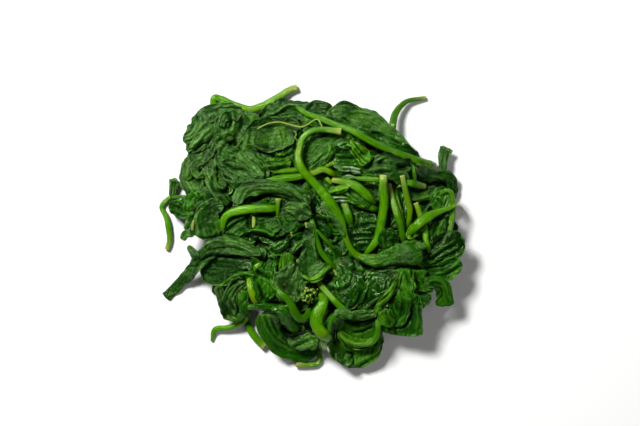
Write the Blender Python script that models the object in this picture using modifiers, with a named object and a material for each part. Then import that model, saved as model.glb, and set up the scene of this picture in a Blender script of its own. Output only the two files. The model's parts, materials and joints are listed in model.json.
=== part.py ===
# Bunch of blanched spinach: limp leaves and cut stems that lie over one another in a low heap.
# The pieces are laid one after the other, lowest first. Each settles on a map of the tops of those
# below it, sags where nothing holds it, and is then added to the map.
import math

import bmesh
import bpy
import numpy as np

# Driving dimensions, in millimetres where nothing else is said
MM = 0.001                       # metres
PIXEL = 0.5                      # size on the bunch of one pixel of the photograph
MIDDLE = (312.5, 227.0)          # the photograph's pixel over the middle of the bunch
LEAF_THICKNESS = 0.8
GAP = 0.35                       # kept between pieces that touch
CORE_CENTRE = (4.0, -3.0)
CORE_RADII = (50.0, 45.0, 8.0)
CORE_LIFT = 7.0                  # height of the core's middle over the surface it lies on
CORE_SIDES = 22
CORE_RINGS = 10
CORE_LOBES = ((5, 0.07, 1.0, 0.0), (9, 0.05, 0.0, 4.0))  # count round it, share, start, slant with height
CORE_RIPPLE = 0.8                # rise and fall of its upper side
INNER_TIP = 0.8                  # height at the tips of the leaves that reach out of the core
INNER_RISE = 5.5                 # rise from there to their roots
INNER_FALL = 1.3                 # how steeply they leave the core
ROOT_DEPTH = 2.5                 # how far a leaf's root is sunk in the core
ROOT_LEAST = 1.5                 # and its least height
WIDTH_EASE = 1.1                 # a pleated leaf is a little wider than it looks from above
LEAF_STEP = 5.6                  # length of a leaf's cells
STEM_STEP = 3.4                  # length of a stem's straight runs
LEAF_SAG = 0.05                  # curvature of a leaf where nothing holds it, per millimetre
STEM_SAG = 0.012
PLEAT = 1.3                      # height of the folds along a leaf
WAVE = 1.0                       # rise and fall of a leaf's edges
EDGE_TURN = (2.3, 1.1)           # phase of that wave from cell to cell, and from edge to edge
TURN_LIMIT = 0.8                 # share of a bend's radius that the inner half of a leaf may fill
STEEPEST = 3.0                   # most that a slope stretches a leaf's upright thickness
LEAF_PROBES = 5                  # places tested along a cell's side while a leaf settles
TOP_PROBES = 14                  # and put on the map once it lies
MAP_CELL = 0.5
MAP_HALF = 90.0                  # half the side of the square map of heights
SETTLE_ROUNDS = 160
CLEAR_ROUNDS = 60                # last rounds, which only lift
SEED = 7

FINISHES = {
    "leaf_green": ((0.022, 0.095, 0.008, 1.0), 0.28),
    "leaf_grey_green": ((0.047, 0.130, 0.028, 1.0), 0.36),
    "stem_green": ((0.100, 0.300, 0.006, 1.0), 0.26),
}


def leaf(name, route, widths, finish="leaf_green", arch=0.0, cup=0.0):
    """A blade: its middle line, its half widths along that line in pixels, its bulge or hollow."""
    return {"kind": "leaf", "name": name, "route": route, "widths": widths, "finish": finish,
            "arch": arch, "cup": cup}


def stem(name, route, widths, branch=None):
    """A leaf stalk: its middle line and its widths along that line in pixels."""
    return {"kind": "stem", "name": name, "route": route, "widths": widths,
            "finish": "stem_green", "branch": branch}


# Leaves of the lowest layer, rooted in the core: middle line from the root outwards, half widths
INNER = [
    leaf("top_a", [(316, 158), (316, 130), (317, 106)], [6, 12, 12, 5]),
    leaf("top_b", [(345, 155), (343, 128), (343, 107)], [6, 12, 12, 5]),
    leaf("top_c", [(286, 158), (280, 130), (276, 109)], [6, 13, 15, 7]),
    leaf("left_high", [(254, 188), (231, 168), (206, 151)], [7, 13, 13, 7]),
    leaf("left", [(232, 208), (200, 205), (171, 206)], [7, 10, 9, 4]),
    leaf("left_fold", [(240, 232), (213, 216), (190, 229)], [7, 11, 11, 6]),
    leaf("left_low", [(250, 280), (228, 290), (211, 290)], [7, 10, 9, 5]),
    leaf("right", [(405, 228), (434, 216), (453, 192)], [6, 10, 9, 4]),
    leaf("right_mid", [(404, 250), (436, 245), (463, 238)], [7, 12, 12, 6]),
    leaf("right_low", [(396, 262), (413, 276), (431, 291)], [6, 10, 10, 5]),
    leaf("low_right", [(378, 290), (394, 312), (408, 332)], [6, 12, 12, 7]),
    leaf("low_mid", [(345, 300), (344, 330), (340, 354)], [6, 13, 13, 6]),
    leaf("low_left", [(292, 300), (284, 322), (280, 342)], [6, 12, 12, 6]),
]

# Leaves that stand out of the core's upper side and lie back over it, seen between the others
FLAPS = [
    leaf("flap_top", [(284, 172), (272, 148), (262, 124)], [7, 13, 13, 7]),
    leaf("flap_under_midrib", [(384, 176), (366, 156), (346, 140)], [7, 12, 12, 6]),
    leaf("flap_arch", [(244, 196), (264, 199), (294, 203)], [6, 11, 11, 6]),
    leaf("flap_upright", [(366, 176), (388, 202), (400, 230)], [7, 14, 14, 7]),
    leaf("flap_right_high", [(388, 180), (414, 184), (440, 191)], [6, 11, 11, 6]),
    leaf("flap_right", [(404, 204), (424, 218), (440, 238)], [6, 12, 12, 6]),
    leaf("flap_middle", [(300, 202), (314, 234), (322, 262)], [6, 12, 12, 6]),
    leaf("flap_centre", [(330, 214), (350, 246), (372, 272)], [7, 13, 13, 6]),
    leaf("flap_left_middle", [(248, 236), (274, 246), (302, 252)], [6, 12, 12, 6]),
    leaf("flap_left", [(226, 230), (236, 248), (252, 266)], [6, 12, 11, 6]),
    leaf("flap_right_low", [(406, 240), (426, 262), (438, 284)], [6, 11, 10, 5]),
    leaf("flap_low", [(298, 266), (312, 286), (326, 308)], [6, 11, 11, 6]),
    leaf("flap_low_left", [(256, 294), (280, 304), (306, 308)], [6, 11, 10, 6]),
    leaf("flap_low_right", [(352, 268), (372, 292), (384, 318)], [6, 12, 12, 6]),
]

# Everything that lies on them, in the order in which it was laid
UPPER = [
    stem("stem_top_left",
         [(212, 116), (213, 98), (217, 97), (228, 102), (238, 106), (250, 108.5), (262, 105), (270, 101),
          (280, 95), (290, 88.5), (297, 86)], [6, 7, 7, 8, 8, 7]),
    stem("stem_top_right",
         [(393, 129), (394, 122), (396, 115), (399, 108), (404, 103), (410, 99.5), (427, 96.5)],
         [8, 7, 6, 5, 4]),
    stem("stem_right_strip", [(443, 176), (443, 160), (444, 152), (447, 148)], [7, 7, 8, 10]),
    stem("stem_left_outer",
         [(173, 180), (171, 190), (170, 196), (166, 199), (161, 204), (160, 208.5), (163, 214),
          (166, 222), (168, 240), (165, 250)], [8, 5, 5, 6, 6, 5],
         branch=([(171, 197), (180, 197), (190, 198)], [4, 4])),
    stem("stem_bottom_left", [(245, 322), (250, 332), (256, 340), (262, 346)], [6, 7, 7]),
    stem("stem_lower_left",
         [(244, 303), (245.5, 312), (244, 320), (234, 326.5), (225, 329), (215, 331.5), (210.5, 342)],
         [6, 6, 7, 6, 5]),
    stem("stem_bottom",
         [(315, 336), (316, 345), (318, 353), (320, 361), (314, 366), (305, 366.5), (297, 366)],
         [4, 5, 5, 6, 7]),
    leaf("leaf_upper_right",
         [(326, 116), (346, 118), (366, 125), (384, 137), (400, 148), (420, 161)],
         [5, 11, 12, 10, 8, 3], arch=1.5),
    stem("midrib_upper_right",
         [(297, 107), (302, 111), (308, 115), (320, 119), (331, 124), (350, 131), (370, 142),
          (392, 152), (413, 160), (435, 166)], [5, 5, 5, 6, 8, 9, 9]),
    leaf("leaf_left_low", [(189, 158), (190, 178), (197, 192), (210, 203), (224, 211)],
         [6, 9, 9, 9, 5], "leaf_grey_green", arch=1.5),
    leaf("leaf_left_middle", [(214, 142), (200, 155), (191, 168), (186, 180)],
         [6, 9, 9, 4], "leaf_grey_green", arch=1.5),
    leaf("leaf_left_high", [(224, 125), (210, 133), (200, 141), (187, 151)],
         [6, 9, 9, 5], "leaf_grey_green", arch=1.0),
    leaf("leaf_corner", [(242, 117), (226, 112), (210, 117), (198, 129), (185, 143)],
         [6, 10, 11, 10, 5], "leaf_grey_green", arch=2.0),
    leaf("leaf_corner_inner", [(244, 112), (236, 122), (228, 134), (222, 150)],
         [8, 12, 12, 7], "leaf_grey_green", arch=1.5),
    leaf("leaf_top_cup", [(301, 128), (290, 130), (272, 134), (254, 136), (244, 137)],
         [8, 13, 15, 14, 6], "leaf_grey_green", cup=2.5),
    leaf("leaf_under_long_stem", [(342, 134), (326, 146), (314, 158), (303, 170)],
         [6, 13, 13, 6], arch=1.5),
    leaf("leaf_crinkled", [(218, 145), (232, 152), (245, 158), (258, 166), (268, 178)],
         [6, 10, 10, 9, 4], "leaf_grey_green", arch=1.5),
    leaf("leaf_crinkled_low", [(220, 166), (236, 174), (250, 180), (264, 183)],
         [6, 11, 10, 5], "leaf_grey_green", arch=1.5),
    stem("stem_middle",
         [(264, 182), (272, 178), (285, 175), (297, 174.5), (314, 172), (324, 169.5), (338, 176)],
         [7, 7, 6, 6, 5], branch=([(322, 170), (329, 165), (342, 161)], [4, 4])),
    leaf("leaf_wet_top", [(334, 164), (350, 160), (368, 163), (384, 166)], [6, 11, 12, 6]),
    leaf("leaf_wet_side", [(306, 182), (320, 196), (332, 212), (338, 226)], [6, 11, 11, 6]),
    leaf("leaf_wet_centre", [(348, 204), (356, 218), (364, 236), (370, 250)],
         [8, 15, 16, 7], arch=1.0),
    leaf("leaf_small_curl", [(374, 166), (388, 160), (400, 163), (412, 169)], [4, 7, 7, 4], arch=1.5),
    leaf("leaf_right_loop", [(422, 171), (436, 175), (448, 177), (454, 186), (453, 200)],
         [3, 5, 5, 5, 4], arch=1.5),
    stem("stem_right_edge",
         [(440, 193), (448, 190), (452, 197), (452, 205), (452, 215), (450, 225), (445, 241)],
         [5, 5, 5, 5, 4]),
    stem("stem_slanting", [(344, 199), (352, 202), (360, 205), (378, 211)], [5, 6, 6]),
    stem("stem_cut_pale", [(333, 181), (342, 182), (352, 186), (360, 192), (374, 199)], [5, 7, 9, 9]),
    leaf("leaf_right_ridged", [(428, 257), (438, 252), (449, 247), (464, 249)],
         [7, 12, 13, 8], arch=2.0),
    leaf("leaf_right_rim", [(418, 272), (432, 271), (446, 270), (460, 267)], [5, 9, 9, 6], cup=1.0),
    leaf("leaf_right_tongue", [(430, 280), (438, 287), (445, 297), (446, 307)], [5, 8, 8, 6], arch=1.0),
    leaf("leaf_lower_right_corner", [(415, 286), (417, 304), (415, 322), (404, 332), (386, 331)],
         [5, 8, 9, 8, 5], cup=1.0),
    leaf("leaf_lower_right_long", [(403, 264), (401, 285), (400, 305), (397, 326)],
         [6, 10, 10, 6], arch=2.0),
    leaf("leaf_lower_right_wide", [(394, 270), (378, 279), (367, 294), (361, 310)],
         [6, 12, 12, 6], arch=1.5),
    leaf("leaf_lower_dark", [(333, 260), (345, 272), (350, 290), (346, 308)], [6, 12, 12, 6], arch=1.0),
    stem("stem_upright_thin",
         [(401, 176), (403, 185), (404, 192), (407, 202), (409, 212), (406, 229)], [5, 5, 6, 5]),
    stem("stem_upright_dark", [(387, 188), (391, 197), (394, 207), (397, 217), (400, 227), (403, 237)],
         [6, 7, 8, 7]),
    stem("stem_upright_pale",
         [(383, 175), (382, 190), (383, 200), (382.5, 210), (379, 230), (376, 240), (369, 250)],
         [8, 8, 8, 8, 7, 6]),
    stem("stem_right_down", [(415, 201), (419, 212), (421, 220), (424, 230), (425, 240), (428, 250)],
         [4, 5, 5, 5]),
    stem("stem_right_reach",
         [(409, 232), (414, 224), (421, 219), (430, 214), (438, 211), (447, 208), (458, 204)],
         [7, 7, 7, 6, 4, 3]),
    leaf("leaf_left_tongue", [(213, 202), (208, 214), (207, 226), (208, 240)],
         [5, 11, 12, 8], "leaf_grey_green", arch=1.5),
    leaf("leaf_oval", [(262, 267), (244, 267), (222, 270), (201, 275)], [6, 13, 15, 8], cup=1.5),
    leaf("leaf_long_tail",
         [(262, 254), (242, 247), (222, 246), (208, 252), (198, 262), (188, 274), (177, 285), (164, 299)],
         [6, 9, 9, 8, 7, 6, 5, 5], "leaf_grey_green", arch=1.5),
    leaf("leaf_grey_cup", [(310, 219), (295, 216), (278, 217), (262, 223), (245, 230)],
         [6, 14, 14, 11, 5], "leaf_grey_green", cup=1.5),
    stem("stem_centre_left", [(224, 226), (225, 217), (229, 212), (236, 210), (252, 207.5), (277, 208)],
         [6, 8, 8, 8, 7], branch=([(278, 208), (278, 204), (278, 199)], [5, 5])),
    leaf("leaf_arched_ribbon",
         [(234, 208), (239, 194), (250, 188), (266, 187), (282, 189), (296, 194), (309, 205)],
         [5, 7, 7, 7, 7, 5], arch=2.5),
    leaf("leaf_lower_left", [(248, 282), (237, 292), (233, 306), (237, 322)],
         [7, 11, 11, 6], "leaf_grey_green", arch=1.0),
    leaf("leaf_zigzag", [(273, 260), (269, 274), (262, 290), (262, 304)], [7, 11, 11, 6], arch=1.0),
    leaf("leaf_wrinkled", [(298, 262), (295, 274), (291, 288), (290, 302)],
         [7, 13, 13, 7], "leaf_grey_green", arch=1.0),
    stem("stem_lower_middle",
         [(317, 280), (322, 286), (329, 294), (337, 303), (343, 308), (354, 317)], [6, 6, 5, 4]),
    stem("stem_hook",
         [(278, 286), (281, 292), (288, 298), (291, 303), (294, 310), (299, 317), (306, 317),
          (310, 311)], [5, 6, 8, 8, 7]),
    leaf("leaf_bottom_arch", [(265, 313), (270, 330), (280, 343), (296, 351), (317, 352)],
         [6, 10, 11, 10, 7], arch=2.5),
    stem("stem_thick", [(320, 296), (322, 300), (321, 306), (317, 314), (318, 325), (327, 336)],
         [9, 11, 11, 10]),
    leaf("leaf_bottom_round", [(357, 317), (355, 329), (355, 343), (357, 355), (357, 367)],
         [9, 20, 23, 22, 9], cup=2.0),
    stem("stem_lower_right",
         [(377, 311), (376, 320), (376, 330), (375, 337), (368, 343), (358, 345)], [6, 6, 6, 5]),
    stem("stem_olive", [(311, 217), (313, 225), (315, 235), (318, 245), (322, 253), (334, 266)],
         [5, 5, 5, 5]),
    leaf("leaf_hanging_cup", [(308, 231), (309, 246), (310, 258), (315, 269), (328, 270)],
         [5, 7, 10, 11, 6], "leaf_grey_green", arch=1.5),
    leaf("leaf_rolled", [(372, 261), (390, 257), (405, 253), (421, 252)], [5, 8, 9, 8],
         "leaf_grey_green", arch=2.0),
    stem("stem_long",
         [(339, 132), (322, 131), (312, 132), (304, 137), (300, 147), (298.5, 159), (303, 171),
          (311, 180), (322, 192), (333, 207), (341, 220), (344, 233), (349, 246), (356, 255),
          (366, 259)], [6, 6, 6, 7, 8, 8, 9, 9, 7, 6, 8, 8]),
]


def plan(points):
    """Photo pixels to millimetres, +X right and +Y up the photograph."""
    p = np.array(points, float)
    return np.column_stack(((p[:, 0] - MIDDLE[0]) * PIXEL, (MIDDLE[1] - p[:, 1]) * PIXEL))


def smooth_line(points, step, least):
    """Evenly spaced points on a smooth curve through the given ones, and its directions."""
    ends = np.vstack((2 * points[0] - points[1], points, 2 * points[-1] - points[-2]))
    dense = []
    for a, b, c, d in zip(ends, ends[1:], ends[2:], ends[3:]):
        for u in np.linspace(0, 1, 24, endpoint=False):
            dense.append(0.5 * (2 * b + (c - a) * u + (2 * a - 5 * b + 4 * c - d) * u ** 2
                                + (3 * b - a - 3 * c + d) * u ** 3))
    dense = np.array(dense + [points[-1]])
    run = np.concatenate(([0], np.cumsum(np.linalg.norm(np.diff(dense, axis=0), axis=1))))
    count = max(least, round(run[-1] / step))
    at = np.linspace(0, run[-1], count + 1)
    line = np.column_stack((np.interp(at, run, dense[:, 0]), np.interp(at, run, dense[:, 1])))
    way = np.gradient(line, axis=0)
    return line, way / np.linalg.norm(way, axis=1)[:, None]


def spread(values, count):
    """The given values, evenly spaced, read at count + 1 places with soft changes between them."""
    return np.interp(np.linspace(0, len(values) - 1, count + 1), range(len(values)), values)


class HeightMap:
    """Tops of all that has been laid, over the surface that the bunch lies on."""

    def __init__(self):
        side = round(2 * MAP_HALF / MAP_CELL)
        self.tops = np.zeros((side, side))

    def cells(self, xy):
        return tuple(np.rint((xy + MAP_HALF) / MAP_CELL).astype(int).T)

    def add(self, points):
        np.maximum.at(self.tops, self.cells(points[:, :2]), points[:, 2])

    def read(self, xy, reach=2):
        """The highest top within reach cells of each point."""
        i, j = self.cells(xy)
        best = np.zeros(len(i))
        for di in range(-reach, reach + 1):
            for dj in range(-reach, reach + 1):
                best = np.maximum(best, self.tops[i + di, j + dj])
        return best


def weights_in_triangle(parts):
    """Evenly spread places in a triangle, as shares of its three corners."""
    return np.array([(a, b, parts - a - b) for a in range(parts + 1)
                     for b in range(parts + 1 - a)], float) / parts


def settle(z, relief, average, corners, shares, need, sag):
    """Lower a sheet until it rests: heights z, to which relief is added, over the needed heights."""
    def lift(heights):
        total = heights + relief
        short = need(total) - (total[corners] * shares).sum(axis=1)
        push = np.maximum(short, 0)[:, None] * shares / (shares ** 2).sum(axis=1)[:, None]
        raised = np.zeros(len(heights))
        np.maximum.at(raised, corners.ravel(), push.ravel())
        return heights + raised

    for _ in range(SETTLE_ROUNDS):
        z = lift(average(z) - sag)
    for _ in range(CLEAR_ROUNDS):
        z = lift(z)
    return z


def leaf_surface(spec, ground, rng, anchored=None, rooted=False):
    """A triangulated open sheet for a leaf, settled on the ground, or with its root sunk in it."""
    points = plan(spec["route"])
    line, way = smooth_line(points, LEAF_STEP, 5)
    along = len(line) - 1
    half = spread(spec["widths"], along) * PIXEL * WIDTH_EASE
    across = 6 if half.mean() > 3.4 else 4
    bend = np.gradient(np.unwrap(np.arctan2(way[:, 1], way[:, 0])))
    bend /= np.linalg.norm(np.gradient(line, axis=0), axis=1)
    side = np.column_stack((-way[:, 1], way[:, 0]))

    mesh = bmesh.new()
    bmesh.ops.create_grid(mesh, x_segments=along, y_segments=across, size=1.0)
    bmesh.ops.triangulate(mesh, faces=mesh.faces[:], quad_method="FIXED")
    place = np.array([(round((v.co.x + 1) / 2 * along), round((v.co.y + 1) / 2 * across))
                      for v in mesh.verts])
    faces = np.array([[v.index for v in f.verts] for f in mesh.faces])

    v = place[:, 1] / across * 2 - 1
    i = place[:, 0]
    limit = TURN_LIMIT / np.maximum(np.where(np.sign(v) == np.sign(bend[i]), np.abs(bend[i]), 0), 1e-6)
    offset = np.sign(v) * np.minimum(np.abs(v) * half[i], limit * np.abs(v))
    xy = line[i] + side[i] * offset[:, None]

    cell = 2 * half[i] / across
    fold = np.where(place[:, 1] % 2 == 1, 1.0, 0.0) * np.minimum(PLEAT, 0.4 * cell)
    edge = np.where(np.abs(v) > 0.95, 1.0, 0.0)
    phase = i * EDGE_TURN[0] + v * EDGE_TURN[1] + rng.uniform(0, 2 * math.pi)
    wave = edge * WAVE * (0.5 + 0.5 * np.sin(phase))
    relief = fold + wave + spec["arch"] * (1 - v ** 2) + spec["cup"] * v ** 2
    relief -= relief.min()

    grid = np.zeros((along + 1, across + 1), int)
    grid[place[:, 0], place[:, 1]] = np.arange(len(place))

    def average(z):
        g = np.pad(z[grid], 1, mode="edge")
        mean = (g[:-2, 1:-1] + g[2:, 1:-1] + g[1:-1, :-2] + g[1:-1, 2:]) / 4
        out = np.empty_like(z)
        out[grid.ravel()] = mean.ravel()
        return out

    inside = weights_in_triangle(LEAF_PROBES)
    corners = np.repeat(faces, len(inside), axis=0)
    shares = np.tile(inside, (len(faces), 1))
    below = ground.read((xy[corners] * shares[:, :, None]).sum(axis=1))

    root = place[:, 0] == 0
    if rooted:
        below[np.repeat(root[faces].any(axis=1), len(inside))] = -MAP_HALF

    def need(total):
        p = np.column_stack((xy, total))[faces]
        n = np.cross(p[:, 1] - p[:, 0], p[:, 2] - p[:, 0])
        tilt = np.linalg.norm(n, axis=1) / np.maximum(np.abs(n[:, 2]), 1e-6)
        room = GAP + LEAF_THICKNESS / 2 * np.minimum(tilt, STEEPEST)
        return below + np.repeat(room, len(inside))

    sag = LEAF_SAG * np.linalg.norm(line[1] - line[0]) ** 2 / 4
    if anchored is None:
        z = settle(np.full(len(xy), 0.0), relief, average, corners, shares, need, sag)
    else:
        z = anchored(xy)
    if rooted:
        z[root] = np.maximum(core_height(xy[root]) - ROOT_DEPTH, ROOT_LEAST) - relief[root]
    for vert, (x, y), height in zip(mesh.verts, xy, z + relief):
        vert.co = (x * MM, y * MM, height * MM)
    return mesh, np.column_stack((xy, z + relief)), faces


def add_sheet(ground, points, faces, thickness):
    """Put the upper face of a sheet on the map of heights."""
    inside = weights_in_triangle(TOP_PROBES)
    p = points[faces]
    n = np.cross(p[:, 1] - p[:, 0], p[:, 2] - p[:, 0])
    tilt = np.linalg.norm(n, axis=1) / np.maximum(np.abs(n[:, 2]), 1e-6)
    spots = np.einsum("kc,fcd->fkd", inside, p)
    spots[:, :, 2] += (thickness / 2 * np.minimum(tilt, STEEPEST))[:, None]
    ground.add(spots.reshape(-1, 3))


def finish_material(name):
    """One glossy plant finish."""
    made = bpy.data.materials.get(name)
    if made:
        return made
    colour, roughness = FINISHES[name]
    made = bpy.data.materials.new(name)
    made.use_nodes = True
    shader = made.node_tree.nodes["Principled BSDF"]
    shader.inputs["Base Color"].default_value = colour
    shader.inputs["Roughness"].default_value = roughness
    shader.inputs["Metallic"].default_value = 0.0
    made.diffuse_color = colour
    return made


def leaf_object(name, mesh, finish, collection):
    """A sheet given its thickness."""
    data = bpy.data.meshes.new(name)
    mesh.to_mesh(data)
    mesh.free()
    data.materials.append(finish_material(finish))
    blade = bpy.data.objects.new(name, data)
    collection.objects.link(blade)
    shell = blade.modifiers.new("Thickness", "SOLIDIFY")
    shell.thickness = LEAF_THICKNESS * MM
    shell.offset = 0.0
    return blade


def lay_leaf(spec, ground, rng, collection):
    mesh, points, faces = leaf_surface(spec, ground, rng)
    add_sheet(ground, points, faces, LEAF_THICKNESS)
    return leaf_object(spec["name"], mesh, spec["finish"], collection)


def settle_stem(route, widths, ground, start=None):
    """Points and radii of a stem that rests on the ground, its first point held where start says."""
    line, way = smooth_line(plan(route), STEM_STEP, 3)
    count = len(line) - 1
    radius = spread(widths, count) * PIXEL / 2
    side = np.column_stack((-way[:, 1], way[:, 0]))
    rows, shares, spots, rise = [], [], [], []
    for i in range(count):
        for u in np.linspace(0, 1, 7):
            r = radius[i] * (1 - u) + radius[i + 1] * u
            centre = line[i] * (1 - u) + line[i + 1] * u
            for s in np.linspace(-1, 1, 7):
                rows.append((i, i + 1))
                shares.append((1 - u, u))
                spots.append(centre + side[i] * s * r)
                rise.append(r * math.sqrt(max(0.0, 1 - s * s)))
    rows, shares = np.array(rows), np.array(shares)
    below = ground.read(np.array(spots), reach=1) + np.array(rise) + GAP

    def average(z):
        g = np.pad(z, 2, mode="reflect", reflect_type="odd")
        mean = (g[1:-3] + g[3:-1]) / 2
        mean[[0, -1]] = (z[[1, -2]] + z[[0, -1]]) / 2
        if start is not None:
            mean[0] = start
        return mean

    def need(total):
        slope = np.abs(np.diff(total)) / np.linalg.norm(np.diff(line, axis=0), axis=1)
        stretch = np.sqrt(1 + np.minimum(slope, 2.0) ** 2)
        return below + (stretch[rows[:, 0]] - 1) * np.array(rise)

    sag = STEM_SAG * np.linalg.norm(line[1] - line[0]) ** 2 / 2
    z = settle(radius + GAP, np.zeros(count + 1), average, rows, shares, need, sag)
    return np.column_stack((line, z)), radius


def add_stem(ground, points, radius):
    """Put the upper side of a stem on the map of heights."""
    way = np.gradient(points[:, :2], axis=0)
    side = np.column_stack((-way[:, 1], way[:, 0])) / np.linalg.norm(way, axis=1)[:, None]
    spots = []
    for i in range(len(points) - 1):
        for u in np.linspace(0, 1, 12):
            centre = points[i] * (1 - u) + points[i + 1] * u
            r = radius[i] * (1 - u) + radius[i + 1] * u
            slope = abs(points[i + 1, 2] - points[i, 2]) / np.linalg.norm((points[i + 1] - points[i])[:2])
            for s in np.linspace(-1.1, 1.1, 13):
                height = centre[2] + r * math.sqrt(max(0.0, 1 - s * s)) * math.sqrt(1 + slope ** 2)
                spots.append((*(centre[:2] + side[i] * s * r), height))
    ground.add(np.array(spots))


def stem_object(name, points, radius, finish, collection):
    """A round tapering tube with closed ends."""
    curve = bpy.data.curves.new(name, "CURVE")
    curve.dimensions = "3D"
    curve.bevel_depth = MM
    curve.bevel_resolution = 2
    curve.use_fill_caps = True
    spline = curve.splines.new("POLY")
    spline.points.add(len(points) - 1)
    for point, co, r in zip(spline.points, points * MM, radius):
        point.co = (*co, 1.0)
        point.radius = r
    curve.materials.append(finish_material(finish))
    tube = bpy.data.objects.new(name, curve)
    collection.objects.link(tube)
    return tube


def as_mesh(thing, collection):
    """Turn an object into a plain mesh object with its modifiers and caps welded in."""
    graph = bpy.context.evaluated_depsgraph_get()
    data = bpy.data.meshes.new_from_object(thing.evaluated_get(graph))
    solid = bmesh.new()
    solid.from_mesh(data)
    bmesh.ops.remove_doubles(solid, verts=solid.verts, dist=0.000001)
    solid.to_mesh(data)
    solid.free()
    name = thing.name
    bpy.data.objects.remove(thing)
    made = bpy.data.objects.new(name, data)
    collection.objects.link(made)
    return made


def fuse(base, extras):
    """Join extra pieces to the base, which keeps its name."""
    group = bpy.data.collections.new("joined_to_" + base.name)
    bpy.context.scene.collection.children.link(group)
    for extra in extras:
        for home in list(extra.users_collection):
            home.objects.unlink(extra)
        group.objects.link(extra)
    union = base.modifiers.new("Union", "BOOLEAN")
    union.operation = "UNION"
    union.operand_type = "COLLECTION"
    union.collection = group
    union.solver = "EXACT"
    bpy.context.view_layer.update()
    graph = bpy.context.evaluated_depsgraph_get()
    joined = bpy.data.meshes.new_from_object(base.evaluated_get(graph))
    base.modifiers.remove(union)
    base.data = joined
    for extra in extras:
        bpy.data.objects.remove(extra)
    bpy.data.collections.remove(group)


def lay_stem(spec, ground, collection):
    points, radius = settle_stem(spec["route"], spec["widths"], ground)
    tube = stem_object(spec["name"], points, radius, spec["finish"], collection)
    if spec["branch"]:
        route, widths = spec["branch"]
        root = np.linalg.norm(points[:, :2] - plan(route)[0], axis=1).argmin()
        twig_points, twig_radius = settle_stem(route, widths, ground, points[root, 2])
        twig_points[0, 2] = points[root, 2]
        twig = stem_object(spec["name"] + "_branch", twig_points, twig_radius, spec["finish"], collection)
        tube = as_mesh(tube, collection)
        fuse(tube, [as_mesh(twig, collection)])
        add_stem(ground, twig_points, twig_radius)
    add_stem(ground, points, radius)
    return tube


def core_height(xy):
    """Height of the core's upper side, below zero outside it."""
    u = (xy - np.array(CORE_CENTRE)) / np.array(CORE_RADII[:2])
    inside = 1 - (u ** 2).sum(axis=-1)
    return np.where(inside > 0, CORE_LIFT + CORE_RADII[2] * np.sqrt(np.maximum(inside, 0)), -1.0)


def make_core(collection):
    """The packed middle of the bunch, flat where it rests."""
    mesh = bmesh.new()
    bmesh.ops.create_uvsphere(mesh, u_segments=CORE_SIDES, v_segments=CORE_RINGS, radius=1.0)
    for vert in mesh.verts:
        turn = math.atan2(vert.co.y, vert.co.x)
        lump = 1.0
        for count, share, start, slant in CORE_LOBES:
            lump += share * math.sin(count * turn + start + slant * vert.co.z)
        x = CORE_CENTRE[0] + CORE_RADII[0] * vert.co.x * lump
        y = CORE_CENTRE[1] + CORE_RADII[1] * vert.co.y * lump
        ripple = CORE_RIPPLE * math.sin(0.35 * x) * math.cos(0.31 * y) * max(0.0, vert.co.z)
        z = CORE_LIFT + CORE_RADII[2] * vert.co.z + ripple
        vert.co = (x * MM, y * MM, max(0.0, z) * MM)
    bmesh.ops.triangulate(mesh, faces=mesh.faces[:])
    flat = [f for f in mesh.faces if max(v.co.z for v in f.verts) < 1e-9]
    bmesh.ops.dissolve_faces(mesh, faces=flat)
    data = bpy.data.meshes.new("inner_leaves")
    mesh.to_mesh(data)
    mesh.free()
    data.materials.append(finish_material("leaf_green"))
    core = bpy.data.objects.new("inner_leaves", data)
    collection.objects.link(core)
    return core


def slope_down(route):
    """Heights that fall from a leaf's root in the core to its tip near the floor."""
    root, tip = plan(route)[[0, -1]]
    reach = np.linalg.norm(tip - root)

    def height(xy):
        left = np.clip(1 - np.linalg.norm(xy - root, axis=1) / reach, 0, 1)
        return INNER_TIP + INNER_RISE * left ** INNER_FALL
    return height


def make_inner_leaves(ground, rng, collection):
    """The core with the lowest leaves rooted in it."""
    core = make_core(collection)
    x = np.linspace(-MAP_HALF + 2, MAP_HALF - 2, 400)
    spots = np.stack(np.meshgrid(x, x, indexing="ij"), axis=-1).reshape(-1, 2)
    dome = core_height(spots)
    ground.add(np.column_stack((spots, np.where(dome > 0, dome + 1.0, 0.0))))

    rooted = []
    for spec in INNER + FLAPS:
        outer = spec in INNER
        held = slope_down(spec["route"]) if outer else None
        mesh, points, faces = leaf_surface(spec, ground, rng, held, rooted=not outer)
        add_sheet(ground, points, faces, LEAF_THICKNESS)
        blade = leaf_object(spec["name"], mesh, spec["finish"], collection)
        rooted.append(as_mesh(blade, collection))
    fuse(core, rooted)
    return core


def centre_over_base(collection):
    """Move everything so that the origin is under the middle of the bunch, where it rests."""
    bpy.context.view_layer.update()
    graph = bpy.context.evaluated_depsgraph_get()
    low, high = np.full(3, np.inf), np.full(3, -np.inf)
    for thing in collection.objects:
        seen = thing.evaluated_get(graph)
        data = seen.to_mesh()
        spots = np.array([seen.matrix_world @ v.co for v in data.vertices])
        low, high = np.minimum(low, spots.min(axis=0)), np.maximum(high, spots.max(axis=0))
        seen.to_mesh_clear()
    shift = (-(low[0] + high[0]) / 2, -(low[1] + high[1]) / 2, 0.0)
    for thing in collection.objects:
        thing.location = shift
    return shift


def main():
    for old in list(bpy.data.objects):
        bpy.data.objects.remove(old)
    collection = bpy.data.collections.new("spinach_bunch")
    bpy.context.scene.collection.children.link(collection)
    rng = np.random.default_rng(SEED)
    ground = HeightMap()
    make_inner_leaves(ground, rng, collection)
    for spec in UPPER:
        if spec["kind"] == "leaf":
            lay_leaf(spec, ground, rng, collection)
        else:
            lay_stem(spec, ground, collection)
    shift = centre_over_base(collection)
    print("pieces", len(collection.objects), "height", round(float(ground.tops.max()), 1))
    print("core's flat spot around", [round(c * MM + s, 4) for c, s in zip(CORE_CENTRE, shift)])


main()
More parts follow.
